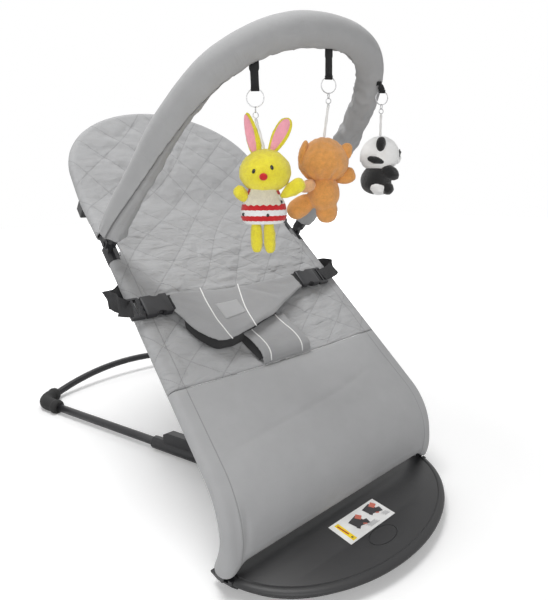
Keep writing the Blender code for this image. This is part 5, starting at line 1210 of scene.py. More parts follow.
def bunny():
    """The yellow bunny in its striped dress with a crocheted yoke."""
    made = Figure("bunny")
    head = made.shape["head"]
    parts = [made.part("head", head, "yellow", detail=(48, 32)), made.string()]
    for word, ear, side in zip(("left", "right"), made.shape["ears"], (-1, 1)):
        parts.append(made.part(f"ear_{word}", ear, "yellow", detail=(32, 28)))
        place, radii, turn, taper = ear
        inner_place = (place[0] + side * 0.0016 - 0.0010, place[1] + 0.0024, place[2] + 0.0020)
        inner = (inner_place, (radii[0] * 0.70, 0.0021, radii[2] * 0.84), turn, taper)
        parts.append(made.part(f"ear_lining_{word}", inner, "pink", 0.0, detail=(24, 20)))
    eye = (0.0018, 0.0027, 0.0011)
    parts.append(made.spot("eye_left", "bead", head, -0.0122, -0.0006, eye, lean=-28))
    parts.append(made.spot("eye_right", "bead", head, 0.0078, 0.0030, eye, lean=20))
    parts.append(made.spot("nose", "red", head, -0.0016, -0.0065, (0.0046, 0.0041, 0.0026)))
    set_down(joined("bunny_plush_head", parts), "bunny", "yellow_plush", "bunny_head")
    dress = []
    for n, (top, foot, look) in enumerate(DRESS_BANDS):
        dress.append(knit_band(made, f"dress_band_{n}", top, foot, look, closed=n == len(DRESS_BANDS) - 1))
    points, rows, columns = [], YOKE_ROWS, YOKE_COLUMNS
    for j in range(rows + 1):
        for i in range(columns + 1):
            turn = math.radians(YOKE_START + YOKE_SWEEP * i / columns)
            z = YOKE_TOP - YOKE_DROP * j / rows
            if j == rows:
                z += YOKE_SCALLOP * abs((i / 4) % 2 - 1) - YOKE_SCALLOP
            puff = 0.0016 + 0.0006 * math.sin(i * 1.6) * math.sin(j * 1.7)
            points.append(dress_point(made, turn, z, puff))
    yoke = outward(shape("bunny_yoke", points, lattice(rows + 1, columns + 1), "cream"))
    dress.append(finish_with(yoke, "SOLIDIFY", thickness=0.0012, offset=0.0))
    for across, z in DRESS_DOTS:
        turn = math.acos(max(-1.0, min(1.0, across / dress_half(z))))
        place = dress_point(made, turn, z, 0.0010)
        dress.append(ball("dot", place, (0.0017, 0.0010, 0.0019), made.axes, "bead", 0.0, 0.0, (16, 10)))
    set_down(joined("bunny_dress", dress), "bunny", "red_knit", "bunny_body")
    for limb, blunt in (("arm", 0.2), ("leg", 0.5)):
        for word, part in zip(("left", "right"), made.shape[f"{limb}s"]):
            piece = made.part(f"plush_{limb}_{word}", part, "yellow", blunt=blunt)
            set_down(piece, "bunny", "yellow_plush", f"bunny_{limb}_{word}")


def bear():
    """The brown bear, its legs grown into its body."""
    made = Figure("bear")
    head, body = made.shape["head"], made.shape["body"]
    parts = [made.part("head", head, "brown", detail=(88, 48), gather=0.17), made.string()]
    for word, ear in zip(("left", "right"), made.shape["ears"]):
        parts.append(made.part(f"ear_{word}", ear, "brown", detail=(24, 20)))
    parts.append(made.spot("muzzle", "brown", head, 0.0, -0.0070, (0.0120, 0.0090, 0.0080), 0.15))
    parts.append(made.spot("nose", "bead", head, 0.0, -0.0035, (0.0034, 0.0026, 0.0020), 4.2))
    for side in (-1, 1):
        parts.append(made.spot(f"eye_{side}", "bead", head, side * 0.0105, 0.0045, (0.0018, 0.0022, 0.0013)))
    set_down(joined("bear_plush_head", parts), "bear", "brown_plush", "bear_head")
    trunk = [made.part("body", body, "brown")]
    for word, part in zip(("left", "right"), made.shape["legs"]):
        trunk.append(made.part(f"plush_leg_{word}", part, "brown", blunt=0.25))
    trunk = joined("bear_plush_body", trunk)
    finish_with(trunk, "REMESH", mode="VOXEL", voxel_size=0.0011)
    finish_with(trunk, "SMOOTH", factor=0.6, iterations=14)
    trunk.data.shade_smooth()
    set_down(trunk, "bear", "brown_plush", "bear_body", "bear_leg_left", "bear_leg_right")
    for word, part, look in zip(("left", "right"), made.shape["arms"], ("brown", "paw")):
        piece = made.part(f"plush_arm_{word}", part, look, blunt=0.2)
        set_down(piece, "bear", "brown_plush", f"bear_arm_{word}")


def panda():
    """The panda: white head and belly, the rest black."""
    made = Figure("panda")
    head, body = made.shape["head"], made.shape["body"]
    parts = [made.part("head", head, "white", detail=(48, 32)), made.string()]
    for word, ear, side in zip(("left", "right"), made.shape["ears"], (-1, 1)):
        parts.append(made.part(f"ear_{word}", ear, "soot", detail=(24, 20)))
        patch, eye = (0.0044, 0.0058, 0.0012), (0.0017, 0.0020, 0.0012)
        lean = side * -24
        parts.append(made.spot(f"eye_patch_{word}", "soot", head, side * 0.0080, 0.0010, patch, 0.3, lean))
        parts.append(made.spot(f"eye_{word}", "bead", head, side * 0.0078, 0.0020, eye, 1.1))
    parts.append(made.spot("muzzle", "white", head, 0.0, -0.0075, (0.0080, 0.0060, 0.0026), 0.2))
    parts.append(made.spot("nose", "bead", head, 0.0, -0.0050, (0.0024, 0.0019, 0.0015), 1.7))
    for side in (-1, 1):
        leaf = ((side * 0.0215, -0.0110, -0.0325), (0.0040, 0.0048, 0.0122), (0, 78), 0.0)
        parts.append(made.part(f"shoulder_leaf_{side}", leaf, "soot", detail=(20, 16)))
    set_down(joined("panda_plush_head", parts), "panda", "white_plush", "panda_head")
    belly = ((0, -0.0050, -0.0680), (0.0226, 0.0172, 0.0106), (0, -20), 0.0)
    trunk = [made.part("body", body, "soot"), made.part("belly", belly, "white")]
    for limb in ("arm", "leg"):
        for word, part in zip(("left", "right"), made.shape[f"{limb}s"]):
            trunk.append(made.part(f"plush_{limb}_{word}", part, "soot"))
    set_down(joined("panda_plush_body", trunk), "panda", "black_plush", "panda_body")


# harness

FLAP = (                        # x, lower edge, upper edge, height
    (-0.1420, 0.336, 0.366, 0.0180), (-0.1250, 0.296, 0.367, 0.0195), (-0.1050, 0.273, 0.363, 0.0225),
    (-0.0800, 0.271, 0.358, 0.0255), (-0.0500, 0.277, 0.355, 0.0265), (-0.0200, 0.286, 0.355, 0.0258),
    (0.0050, 0.293, 0.357, 0.0245), (0.0350, 0.308, 0.360, 0.0215), (0.0650, 0.322, 0.363, 0.0195),
    (0.0975, 0.336, 0.366, 0.0180),
)
FLAP_FOLDS = (
    (((-0.028, 0.352), (0.004, 0.338), (0.034, 0.324)), 0.0040, -0.0017),
    (((-0.020, 0.345), (0.030, 0.318), (0.052, 0.322)), 0.0060, 0.0012),
    (((-0.138, 0.350), (-0.116, 0.318), (-0.098, 0.286)), 0.0050, 0.0018),
    (((-0.130, 0.356), (-0.104, 0.330), (-0.094, 0.296)), 0.0038, -0.0014),
    (((-0.134, 0.362), (-0.110, 0.356), (-0.096, 0.346)), 0.0032, -0.0010),
    (((0.092, 0.350), (0.060, 0.346), (0.030, 0.350)), 0.0045, -0.0011),
)
BAND = (                        # s, left x, right x, gap under
    (0.2300, -0.046, 0.047, -0.0004), (0.2360, -0.047, 0.046, 0.0070), (0.2460, -0.048, 0.045, 0.0105),
    (0.2620, -0.052, 0.042, 0.0115), (0.2800, -0.057, 0.038, 0.0095), (0.3000, -0.060, 0.034, 0.0080),
)


def table_at(table, x, column):
    """A value of a table at some x, on a smooth curve through its rows."""
    last = len(table) - 1
    x = min(max(x, table[0][0]), table[last][0])
    for i in range(last):
        if table[i][0] <= x <= table[i + 1][0]:
            a, b = table[max(i - 1, 0)][column], table[i][column]
            c, d = table[i + 1][column], table[min(i + 2, last)][column]
            return through(a, b, c, d, (x - table[i][0]) / (table[i + 1][0] - table[i][0]))
    return table[last][column]


def flap_point(x, share, lift=0.0):
    """A place on the waist flap: x, and its share from the lower to the upper edge."""
    low, high = table_at(FLAP, x, 1), table_at(FLAP, x, 2)
    s = low + (high - low) * share
    h = table_at(FLAP, x, 3) + 0.0010 * wave(x * 40, s * 40, 8.0) + fold_height(x, s, FLAP_FOLDS)
    return on_seat(x, s, h + lift), s


def soft_slab(name, look, place, columns, rows, thick):
    """A padded piece: two faces either side of its middle, closed at the edge.

    place(across, up, lift) gives a point and its pattern mark for two shares and a height over the middle."""
    points, pattern = [], []
    for side in (1, -1):
        for j in range(rows + 1):
            for i in range(columns + 1):
                edge = min(i, columns - i, j, rows - j)
                swell = thick / 2 * (0.50 + 0.50 * ease(edge / 3))
                point, mark = place(i / columns, j / rows, side * swell)
                points.append(point)
                pattern.append(mark)
    count = (rows + 1) * (columns + 1)
    faces = lattice(rows + 1, columns + 1) + lattice(rows + 1, columns + 1, start=count)
    rim = [(0, i) for i in range(columns)] + [(j, columns) for j in range(rows)]
    rim += [(rows, i) for i in range(columns, 0, -1)] + [(j, 0) for j in range(rows, 0, -1)]
    index = [j * (columns + 1) + i for j, i in rim]
    for a, b in zip(index, index[1:] + index[:1]):
        faces.append((a, b, b + count, a + count))
    return outward(shape(name, points, faces, look, pattern))


def along_seat(point):
    """Place along the seat line of a point over its straight run."""
    start, along, _ = seat_frame(SEAT_S)
    return SEAT_S + (point - start).dot(along)


def shade_lined(obj):
    """Gives the faces that look down on the seat the near-black cloth: painted shade under the piece."""
    _, _, facing = seat_frame(0.3)
    obj.data.materials.append(LOOKS["lining"])
    for face in obj.data.polygons:
        if face.normal.dot(facing) < -0.25:
            face.material_index = 1
    return mark_pattern(obj, lambda co: (co.x, along_seat(co)))


FLAP_THICK, STRAP_THICK = 0.0046, 0.0040
BAND_S, BAND_LENGTH = 0.2300, 0.0700
# across the flap, the ends of the near-black sheet of painted shade under its lower edge
SHADE_SHEET_ENDS = (-0.1320, 0.0250)
PATCH_ROWS, PATCH_COLUMNS = 12, 18
PATCH_X, PATCH_WIDTH, PATCH_SLANT = -0.0800, 0.0370, 0.004
PIPING_R = 0.0009
FLAP_PIPES = (((-0.092, 1.0), (-0.087, 0.0)), ((-0.030, 1.0), (-0.041, 0.0)))   # x at the top and at the foot
BAND_PIPES = ((0.15, 0.20), (0.80, 0.80))       # share across the strap at its foot and at its top


def harness():
    """The waist flap with its patch and pipings, the crotch strap under it, and near-black sheets of painted
    shade in the gaps under both.
    """
    def flap(a, b, lift):
        x = FLAP[0][0] + (FLAP[-1][0] - FLAP[0][0]) * a
        point, s = flap_point(x, b, lift)
        return point, (x, s)

    waist = shade_lined(swelled(soft_slab("waist_flap", "harness", flap, 96, 34, FLAP_THICK), 0.0017, 4.0, 0.0011))
    pipes = []
    for n, (top, foot) in enumerate(FLAP_PIPES):
        line = []
        for k in range(25):
            share = 1.02 - 1.04 * k / 24
            x = foot[0] + (top[0] - foot[0]) * share - 0.004 * math.sin(math.pi * share)
            line.append(flap_point(x, share, 0.0034)[0])
        pipes.append(swept(f"flap_piping_{n}", line, "piping", PIPING_R, 10))
    patch, marks = [], []
    for j in range(PATCH_ROWS + 1):
        for i in range(PATCH_COLUMNS + 1):
            x = PATCH_X + PATCH_WIDTH * i / PATCH_COLUMNS - PATCH_SLANT * j / PATCH_ROWS
            share = 0.34 + 0.32 * j / PATCH_ROWS
            patch.append(flap_point(x, share, 0.0036)[0])
            marks.append((x, share * 0.08))
    tag = shape("bare_patch", patch, lattice(PATCH_ROWS + 1, PATCH_COLUMNS + 1), "patch", marks)
    finish_with(outward(tag), "SOLIDIFY", thickness=0.0007, offset=0.0)

    # a near-black sheet from under the flap's lower edge down to the seat: painted shade in the gap under the
    # flap
    def curtain(a, b, lift):
        x = SHADE_SHEET_ENDS[0] + (SHADE_SHEET_ENDS[1] - SHADE_SHEET_ENDS[0]) * a
        low = table_at(FLAP, x, 1)
        drop = 0.0016 + 0.0040 * math.exp(-((x + 0.030) / 0.026) ** 2) + 0.0010 * wave(x * 60, 1.0, 2.0)
        s = low + 0.010 - (0.010 + drop) * (1 - b)
        top = table_at(FLAP, x, 3) - 0.0035
        floor = cloth_h(x, s) + CLOTH / 2 + 0.0035
        return on_seat(x, s, floor + (top - floor) * ease(b) + lift), (x, s)

    skirt = soft_slab("flap_painted_shade", "lining", curtain, 72, 10, 0.0010)
    piece = joined("waist_flap", [waist, tag, skirt] + pipes)
    set_down(piece, "seat", "harness_cloth", "harness_flap")

    def band(a, b, lift):
        s = BAND_S + BAND_LENGTH * b
        left, right = table_at(BAND, s, 1), table_at(BAND, s, 2)
        x = left + (right - left) * a
        under = table_at(BAND, s, 3)
        crease = 0.0012 * math.sin(a * 9 + b * 3) * ease(b * 3) * ease((1 - b) * 3)
        return on_seat(x, s, cloth_h(x, s) + CLOTH / 2 + under + 0.0025 + lift + crease), (x, s)

    strap = soft_slab("crotch_strap", "harness", band, 44, 40, STRAP_THICK)
    strap = shade_lined(swelled(strap, 0.0015, 4.0, 0.0007))
    pipes = []
    for n, (low, high) in enumerate(BAND_PIPES):
        line = [band(low + (high - low) * k / 20, k / 20, 0.0029)[0] for k in range(21)]
        pipes.append(swept(f"band_piping_{n}", line, "piping", PIPING_R, 10))

    # a near-black sheet along the strap's left edge down to the seat: painted shade in the hollow beside it
    def side_wall(a, b, lift):
        s = 0.2370 + 0.0640 * a
        x = table_at(BAND, s, 1) + 0.0050 - 0.0085 * (1 - b) * math.sin(math.pi * min(1.0, a + 0.15)) ** 0.5
        top = table_at(BAND, s, 3) + 0.0008
        floor = 0.0022
        return on_seat(x, s, cloth_h(x, s) + CLOTH / 2 + floor + (top - floor) * b + lift), (x, s)

    wall = soft_slab("strap_painted_shade", "lining", side_wall, 32, 8, 0.0008)
    strap = joined("crotch_strap", [strap, wall] + pipes)
    set_down(strap, "seat", "harness_cloth", "crotch_band")


BUCKLE_S, BUCKLE_H, BUCKLE_PLAY = 0.352, 0.0180, 0.0005
BUCKLE_X = {"left": -0.1425, "right": 0.098}
SOCKET, LADDER = (0.0395, 0.032, 0.0110), (0.0200, 0.034, 0.0070)       # length, width, height
GRIP_R, GRIP_OUT = 0.0082, 0.0042       # the round bite in the socket's sides, and how far out its middle is
SLIT, SLIT_STEP, SLIT_EDGE = (0.0045, 0.0262, 0.03), 0.0075, 0.0030
PRONGS = ((-0.0127, -0.0067), (-0.003, 0.003), (0.0067, 0.0127))        # across the plug
PRONG_LENGTH, PRONG_HEIGHT, PRONG_REACH = 0.028, 0.0056, 0.026
RIB, RIB_STEP, RIBS = (0.0011, 0.0240, 0.0012), 0.0018, 3
SOCKET_STRAP = (0.013, 0.0255, 0.0050)


def buckles():
    """Both buckles: the hollow socket with its strap, and the plug with slits, ribs and prongs."""
    for word, side in (("left", -1), ("right", 1)):
        place = seat_place(0, BUCKLE_S, BUCKLE_H)
        mirror = Matrix.Diagonal((side, 1, 1, 1))
        inner = abs(BUCKLE_X[word])
        length, width, height = SOCKET
        body = box_piece(f"buckle_body_{word}", SOCKET, "black", 0.0024, Matrix.Identity(4))
        for end in (-1, 1):
            carve(body, cylinder_cutter((-0.002, end * (width / 2 + GRIP_OUT), 0), GRIP_R, 0.03))
        carve(body, cutter_box((length - 0.006, width - 0.0056, height - 0.0044), (0.0065, 0, 0)))
        body.data.transform(place @ Matrix.Translation((side * (inner + length / 2), 0, 0)) @ mirror)
        outward(body)
        strap = box_piece(f"socket_strap_{word}", SOCKET_STRAP, "webbing", 0.0012,
                          place @ Matrix.Translation((side * (inner - 0.003), 0, 0.0)))
        socket = joined(f"buckle_body_{word}", [body, strap])
        set_down(socket, "seat", "black_plastic", f"buckle_socket_{word}")
        length, width, height = LADDER
        start = inner + SOCKET[0] + BUCKLE_PLAY
        plate = box_piece(f"ladder_lock_{word}", LADDER, "black", 0.0018, Matrix.Identity(4))
        for k in range(2):
            near = length / 2 - SLIT_EDGE - SLIT[0] / 2 - k * SLIT_STEP
            carve(plate, cutter_box(SLIT, (near, 0, 0)))
        parts = [plate]
        for low, high in PRONGS:
            middle = (-length / 2 - PRONG_REACH + PRONG_LENGTH / 2, (low + high) / 2, 0)
            parts.append(box_piece("prong", (PRONG_LENGTH, high - low, PRONG_HEIGHT), "black", 0.0012,
                                   Matrix.Translation(middle)))
        for k in range(RIBS):
            middle = (-length / 2 + 0.0016 + k * RIB_STEP, 0, height / 2)
            parts.append(box_piece("rib", RIB, "black", 0.0004, Matrix.Translation(middle)))
        plug = joined(f"buckle_prongs_{word}", parts)
        plug.data.transform(place @ Matrix.Translation((side * (start + length / 2), 0, 0)) @ mirror)
        set_down(outward(plug), f"plug_{word}", "black_plastic", f"buckle_plug_{word}")


def cutter_box(size, centre):
    """A plain block that carve takes out of a piece."""
    bpy.ops.object.select_all(action="DESELECT")
    bpy.ops.mesh.primitive_cube_add(size=1.0, location=(0, 0, 0))
    obj = bpy.context.object
    obj.data.transform(Matrix.Translation(centre) @ Matrix.Diagonal((*size, 1.0)))
    return obj


def cylinder_cutter(centre, radius, depth, sides=40):
    """An upright cylinder that carve takes out of a piece."""
    bpy.ops.object.select_all(action="DESELECT")
    bpy.ops.mesh.primitive_cylinder_add(vertices=sides, radius=radius, depth=depth, location=(0, 0, 0))
    obj = bpy.context.object
    obj.data.transform(Matrix.Translation(centre))
    return obj


def carve(obj, cutter):
    """Cuts one shape out of a piece, and takes the cutter away."""
    finish_with(obj, "BOOLEAN", operation="DIFFERENCE", object=cutter, solver="EXACT")
    bpy.data.objects.remove(cutter)
    only(obj)
    bpy.ops.object.shade_smooth_by_angle(angle=SHARP_EDGE)


WEBBING_HALF, WEBBING_THICK = 0.0123, 0.0014


def side_webbing(word, side):
    """The strap from the ladder lock over the seat's edge and back under it."""
    start = abs(BUCKLE_X[word]) + SOCKET[0] + BUCKLE_PLAY + LADDER[0]
    rail = rail_x(BUCKLE_S)
    edge = rail + SLEEVE_R + CLOTH / 2
    outer = max(edge + 0.016, start + 0.010)
    low = -(SLEEVE_R + CLOTH / 2 + 0.0009)
    route = (                   # x, height over the rail's middle, shift up the seat
        (start - 0.006, BUCKLE_H + 0.0030, -0.002), (start + 0.002, BUCKLE_H + 0.0030, 0.0),
        ((start + outer) / 2 + 0.001, BUCKLE_H + 0.0008, 0.006), (outer - 0.0040, BUCKLE_H - 0.006, 0.018),
        (outer - 0.0025, 0.003, 0.031), (outer - 0.0035, -0.008, 0.043), (edge - 0.001, low - 0.006, 0.053),
        (rail - 0.003, low, 0.059), (rail - 0.012, low, 0.062),
    )
    line = smooth_line([on_seat(side * x, BUCKLE_S + shift, h) for x, h, shift in route], 0.0022)
    _, along, _ = seat_frame(BUCKLE_S)
    last = len(line) - 1
    breadths, outs = [], []
    for i in range(last + 1):
        head = (line[min(i + 1, last)] - line[max(i - 1, 0)]).normalized()
        breadth = (along - head * along.dot(head)).normalized()
        breadths.append(breadth * WEBBING_HALF)
        outs.append(head.cross(breadth))
    strap = ribbon(f"webbing_loop_{word}", line, breadths, outs, WEBBING_THICK, "webbing")
    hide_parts(f"side_webbing_{word}")
    on_seat(side * outer, BUCKLE_S, 0.0)
    on_seat(side * start, BUCKLE_S, 0.0)
    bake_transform(strap)


# base

PLATE_STEPS = 128               # round the half-moon
PLATE_FOOT = (                  # inset, height and rear inset of the rings under the rounded lip
    (0.0165, 0.0010, 0.0), (0.0165, 0.0035, 0.0), (0.0013, 0.0175, 0.0), (0.0003, 0.0190, 0.0),
    (0.0, 0.0205, 0.0),
)
LIP_STEPS = 12
PLATE_RIM = (                   # inset and height of the rings from the lip to the flat top, a shallow groove
    (0.0091, 0.02526), (0.0099, 0.02508), (0.0106, 0.02478), (0.0113, 0.02468), (0.0120, 0.0250),
)
BRACKET_ROOM = (0.1828 - 0.0006, 0.2150)        # across, the inner one with its clearance
BRACKET_REAR, BRACKET_DEPTH = -0.0256, 0.046    # lowest y and length of that room
TUBE_PLAY, CAP_PLAY, CAP_SINK = 0.0005, 0.0006, 0.0016


def plate_outline(inset, height, back):
    """The half-moon at some height, drawn in by the inset, and by back at its straight rear edge."""
    rear = PLATE_REAR - back
    across, deep = PLATE_HALF - inset, PLATE_DEPTH - inset - back
    points = []
    for k in range(PLATE_STEPS + 1):
        angle = math.pi + math.pi * k / PLATE_STEPS
        points.append(Vector((across * math.cos(angle), rear + deep * math.sin(angle), height)))
    return points


def front_plate():
    """The half-moon shell: a rounded lip, a flat top, undercut below, with room for brackets and tubes."""
    rise = PLATE_TOP - PLATE_FULL
    rings = list(PLATE_FOOT)
    for k in range(1, LIP_STEPS):
        angle = math.pi / 2 * k / LIP_STEPS
        share = 1 - math.cos(angle)
        height = PLATE_FULL + (rise + 0.0003) * math.sin(angle)
        rings.append((PLATE_ROUND * share, height, PLATE_BACK * share))
    for inset, height in PLATE_RIM:
        rings.append((inset, height, PLATE_BACK * inset / PLATE_ROUND))
    points = []
    for ring in rings:
        points.extend(plate_outline(*ring))
    count = PLATE_STEPS + 1
    faces = lattice(len(rings), count)
    top = (len(rings) - 1) * count
    faces.append(tuple(range(top, top + count)))
    faces.append(tuple(range(count - 1, -1, -1)))
    rear = [j * count for j in range(len(rings))]
    faces.append(tuple(rear[::-1] + [j + count - 1 for j in rear]))
    plate = outward(shape("plate_shell", points, faces, "dark"))
    low, high = BRACKET_ROOM
    for side in (-1, 1):
        middle = (side * (low + high) / 2, BRACKET_REAR + BRACKET_DEPTH / 2, 0.02)
        carve(plate, cutter_box((high - low, BRACKET_DEPTH, 0.08), middle))
        hole = cylinder_cutter((0, 0, 0), BASE_R + TUBE_PLAY, 0.05, 32)
        mouth = Matrix.Translation((side * BASE_NARROW, PLATE_REAR, BASE_Z))
        hole.data.transform(mouth @ Matrix.Rotation(math.pi / 2, 4, "X"))
        carve(plate, hole)
    pocket = cylinder_cutter((0, 0, 0), 1.0, 0.02, 96)
    size = Matrix.Diagonal((CAP_HALF[0] + CAP_PLAY, CAP_HALF[1] + CAP_PLAY, 1.0, 1.0))
    pocket.data.transform(Matrix.Translation((MARK_X, CAP_Y, PLATE_TOP - CAP_SINK + 0.01)) @ size)
    carve(plate, pocket)
    set_down(plate, "base", "dark_plastic", "front_plate")


LABEL_THICK, PRINT_THICK = 0.0007, 0.00010
PRINT_LIFT, PRINT_STEP = 0.00012, 0.00002       # over the label, and each print over the one before
PRINTS = (                      # middle, size, turn in degrees, print
    ((-0.0335, -0.0005), (0.0072, 0.0330), 0, "print_yellow"),
    ((-0.0338, 0.0035), (0.0022, 0.0190), 4, "print_red"),
    ((-0.0336, -0.0120), (0.0026, 0.0026), 45, "print_dark"),
    ((-0.0085, 0.0042), (0.0180, 0.0125), 12, "print_dark"),
    ((-0.0040, -0.0030), (0.0200, 0.0085), -14, "print_dark"),
    ((-0.0125, -0.0050), (0.0080, 0.0050), 30, "print_dark"),
    ((0.0002, 0.0075), (0.0080, 0.0085), 32, "print_coral"),
    ((-0.0020, -0.0066), (0.0055, 0.0022), -40, "print_coral"),
    ((0.0235, 0.0085), (0.0170, 0.0120), 10, "print_dark"),
    ((0.0280, 0.0012), (0.0190, 0.0085), -16, "print_dark"),
    ((0.0195, 0.0010), (0.0075, 0.0050), 28, "print_dark"),
    ((0.0330, 0.0105), (0.0095, 0.0080), 24, "print_coral"),
    ((0.0270, -0.0035), (0.0045, 0.0022), -30, "print_coral"),
)
PALE_BARS, PALE_WIDTH = 5, 0.0006       # under each picture, where the real label has small print


def label_print():
    """Plain printed blocks on the label, laid out as on the real one, with nothing readable."""
    z = PLATE_TOP + LABEL_THICK + PRINT_LIFT
    blocks = list(PRINTS)
    for n in range(PALE_BARS):
        long, short = 0.0180 - 0.003 * (n % 2), 0.0110 - 0.002 * (n % 2)
        blocks.append(((0.0050 + 0.0006 * n, -0.0098 - 0.0014 * n), (long, PALE_WIDTH), 0, "print_pale"))
        blocks.append(((0.0340 + 0.0004 * n, -0.0082 - 0.0014 * n), (short, PALE_WIDTH), 0, "print_pale"))
    parts = []
    for n, ((x, y), (w, d), turn, look) in enumerate(blocks):
        place = Matrix.Translation((MARK_X + x, LABEL_Y + y, z + PRINT_STEP * n))
        place = place @ Matrix.Rotation(math.radians(turn), 4, "Z")
        parts.append(box_piece(f"print_{n}", (w, d, PRINT_THICK), look, 0.00003, place, 1))
    set_down(joined("label_print", parts), "base", "label")


def base_x(y):
    """How far out a base tube's middle lies behind its knee."""
    return BASE_NARROW + (y - BASE_KNEE_Y) * math.tan(BASE_SPREAD)


BOW_STEPS, FLOOR_GAP = 24, 0.0003


def base_frame():
    """The bowed rear bar, both side tubes and the rubber corners where they meet."""
    front = Vector((BASE_NARROW, BASE_FRONT_Y, BASE_Z))
    knee = Vector((BASE_NARROW, BASE_KNEE_Y, BASE_Z))
    corner = Vector((base_x(BASE_CORNER_Y), BASE_CORNER_Y, BASE_Z))
    after = Vector((0, 2 * BASE_REAR_Y - BASE_CORNER_Y, BASE_Z))
    bend = rounded(knee, corner, after, CORNER_BEND, 14)
    lead = (after - corner).normalized()
    bend.append(bend[-1] + lead * 0.0123)
    along = (bend[0] - knee).normalized()
    start = bend[0] - along * 0.022
    end = bend[-1]
    half = [start] + bend
    for k in range(1, BOW_STEPS + 1):
        left = 1 - k / BOW_STEPS
        bow = 1 - left ** 2
        half.append(Vector((end.x * left, end.y + (BASE_REAR_Y - end.y) * bow, end.z + BOW_RISE * bow)))
    whole = half + [Vector((-p.x, p.y, p.z)) for p in half[:-1]][::-1]
    set_down(swept("bowed_bar", whole, "tube", BASE_R, 32), "base", "black_tube", "rear_bar")
    for word, side in (("left", -1), ("right", 1)):
        points = [front] + rounded(front, knee, start, KNEE_BEND, 10) + [start - along * 0.0003]
        points = [Vector((p.x * side, p.y, p.z)) for p in points]
        tube = swept(f"side_tube_{word}", points, "tube", BASE_R, 32)
        set_down(tube, "base", "black_tube", f"base_tube_{word}")
        sleeve = [bend[0] - along * FOOT_REACH, bend[0] - along * FOOT_REACH / 2] + bend
        line = smooth_line([Vector((p.x * side, p.y, p.z)) for p in sleeve], 0.0022)
        last = len(line) - 1

        def girth(i, turn, last=last):
            end = min(i, last - i)
            r = FOOT_R + FOOT_SWELL * ease(end / 2.2) ** 0.5
            collar = COLLAR * math.exp(-((end - 4.5) / 1.1) ** 2)
            return r + collar - (0.0008 if end > 6 else 0.0)

        foot = swept(f"rubber_corner_{word}", line, "rubber", girth, 36)
        only(foot)
        for vert in foot.data.vertices:
            vert.co.z = max(vert.co.z, FLOOR_GAP)
        set_down(foot, "base", "rubber", f"rear_foot_{word}")


# plain finishes on the solids that show as they are

KEPT = {
    "dark": ("plate_underside", "plate_cap"),
    "rubber": ("grip_ring",),
    "card": ("plate_label",),
    "steel": ("hinge_pin_left", "hinge_pin_right"),
    "tube": ("seat_rail_left", "seat_rail_right", "head_hoop", "prop_frame"),
    "black": ("tube_clamp", "hinge_bracket_left", "hinge_bracket_right", "ratchet_left", "ratchet_right",
              "toy_bar_clip_left", "toy_bar_clip_right", "toy_bar_knuckle_left", "toy_bar_knuckle_right",
              "toy_bar_rod", "prop_hanger_left", "prop_hanger_right", "prop_shoe"),
}


def finish_kept():
    """Gives each of these solids the finish of its kind."""
    for look, names in KEPT.items():
        for name in names:
            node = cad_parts[name]
            for place in range(len(node.data.materials)):
                node.data.materials[place] = LOOKS[look]


# surroundings

def surroundings():
    """A pale floor that keeps the object's soft shadow near it and runs out into white further off."""
    look = Finish("studio floor", (0.93, 0.93, 0.93), 0.9)
    axes = look.tree.nodes.new("ShaderNodeSeparateXYZ")
    look.tree.links.new(look.place().socket, axes.inputs[0])
    x, y = Value(look, axes.outputs[0]), Value(look, axes.outputs[1]) - 0.3
    far = (x * x + y * y).reckon("SQRT").step(0.55, 1.4)
    seen = look.add("LightPath", {}, out=0)
    glow = look.add("Emission", {}, (1.0, 1.0, 1.0), (far * 1.2 + 0.16) * seen)
    both = look.tree.nodes.new("ShaderNodeAddShader")
    look.tree.links.new(look.shader.outputs[0], both.inputs[0])
    look.tree.links.new(glow.socket, both.inputs[1])
    look.tree.links.new(both.outputs[0], look.tree.nodes["Material Output"].inputs["Surface"])
    bpy.ops.object.select_all(action="DESELECT")
    bpy.ops.mesh.primitive_plane_add(size=12.0, location=(0, 0, 0))
    floor = bpy.context.object
    floor.name = "studio_floor"
    floor.data.materials.append(look.material)


def lamp(name, place, aim, size, power):
    """A round soft lamp that points at a place."""
    data = bpy.data.lights.new(name, "AREA")
    data.shape = "DISK"
    data.size = size
    data.energy = power
    obj = bpy.data.objects.new(name, data)
    bpy.context.scene.collection.objects.link(obj)
    obj.location = place
    obj.rotation_euler = (Vector(aim) - Vector(place)).to_track_quat("-Z", "Y").to_euler()


SENSOR, FOCAL_PIXELS, PHOTO_PIXELS = 36.0, 469.18, 600.0       # the camera that was fitted to the photograph
EYE_PLACE = (-0.4304, -0.3976, 0.4573)
EYE_YAW, EYE_PITCH, EYE_ROLL = math.radians(39.459), math.radians(13.628), math.radians(-0.897)
ROOM_LIGHT = 0.37               # the white seen behind the object is brighter than the light that it sheds


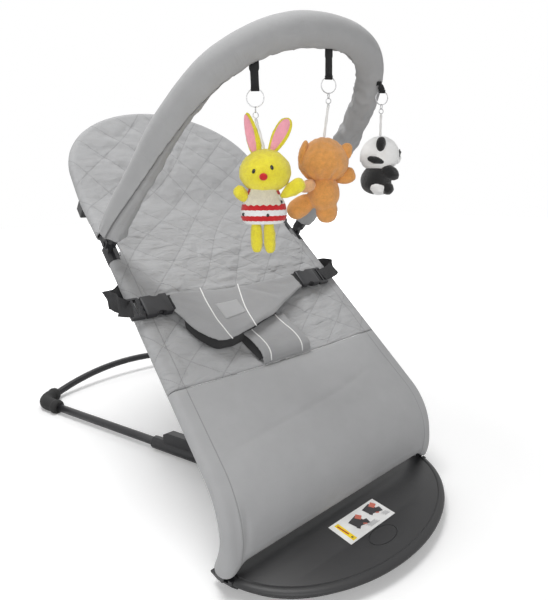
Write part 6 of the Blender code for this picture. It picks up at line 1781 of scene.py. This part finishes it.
def light_and_camera():
    """White surroundings, three soft lamps, and the photograph's own view."""
    scene = bpy.context.scene
    world = bpy.data.worlds.new("studio")
    scene.world = world
    world.use_nodes = True
    tree = world.node_tree
    plain = tree.nodes["Background"]
    plain.inputs["Color"].default_value = (1, 1, 1, 1)
    plain.inputs["Strength"].default_value = ROOM_LIGHT
    seen = tree.nodes.new("ShaderNodeBackground")
    seen.inputs["Color"].default_value = (1, 1, 1, 1)
    seen.inputs["Strength"].default_value = 1.0
    rays = tree.nodes.new("ShaderNodeLightPath")
    both = tree.nodes.new("ShaderNodeMath")
    both.operation = "MAXIMUM"
    tree.links.new(rays.outputs["Is Camera Ray"], both.inputs[0])
    tree.links.new(rays.outputs["Is Glossy Ray"], both.inputs[1])
    blend = tree.nodes.new("ShaderNodeMixShader")
    tree.links.new(both.outputs[0], blend.inputs[0])
    tree.links.new(plain.outputs[0], blend.inputs[1])
    tree.links.new(seen.outputs[0], blend.inputs[2])
    tree.links.new(blend.outputs[0], tree.nodes["World Output"].inputs["Surface"])
    lamp("key_lamp", (-0.35, 0.25, 2.1), (0, 0.20, 0.3), 0.95, 25)
    lamp("fill_lamp", (-1.3, -1.3, 0.9), (0, 0.2, 0.4), 1.4, 12.5)
    lamp("back_lamp", (0.9, 1.6, 1.6), (0, 0.25, 0.3), 1.2, 5)
    scene.view_settings.view_transform = "Standard"
    camera = bpy.data.cameras.new("camera")
    camera.sensor_fit = "AUTO"
    camera.sensor_width = SENSOR
    camera.lens = SENSOR * FOCAL_PIXELS / PHOTO_PIXELS
    camera.clip_start = 0.01
    eye = bpy.data.objects.new("camera", camera)
    scene.collection.objects.link(eye)
    yaw, pitch, roll = EYE_YAW, EYE_PITCH, EYE_ROLL
    ahead = Vector((math.sin(yaw) * math.cos(pitch), math.cos(yaw) * math.cos(pitch), -math.sin(pitch)))
    right = ahead.cross(Vector((0, 0, 1))).normalized()
    up = right.cross(ahead)
    x_axis = right * math.cos(roll) + up * math.sin(roll)
    y_axis = up * math.cos(roll) - right * math.sin(roll)
    place = Matrix((x_axis, y_axis, -ahead)).transposed().to_4x4()
    place.translation = Vector(EYE_PLACE)
    eye.matrix_world = place
    scene.camera = eye


seat_cloths()
toy_bar_padding()
for toy in TOYS:
    toy_strap(toy)
    toy_hook(toy)
bunny()
bear()
panda()
harness()
buckles()
for end_word, end_side in (("left", -1), ("right", 1)):
    side_webbing(end_word, end_side)
front_plate()
label_print()
base_frame()
finish_kept()
surroundings()
light_and_camera()
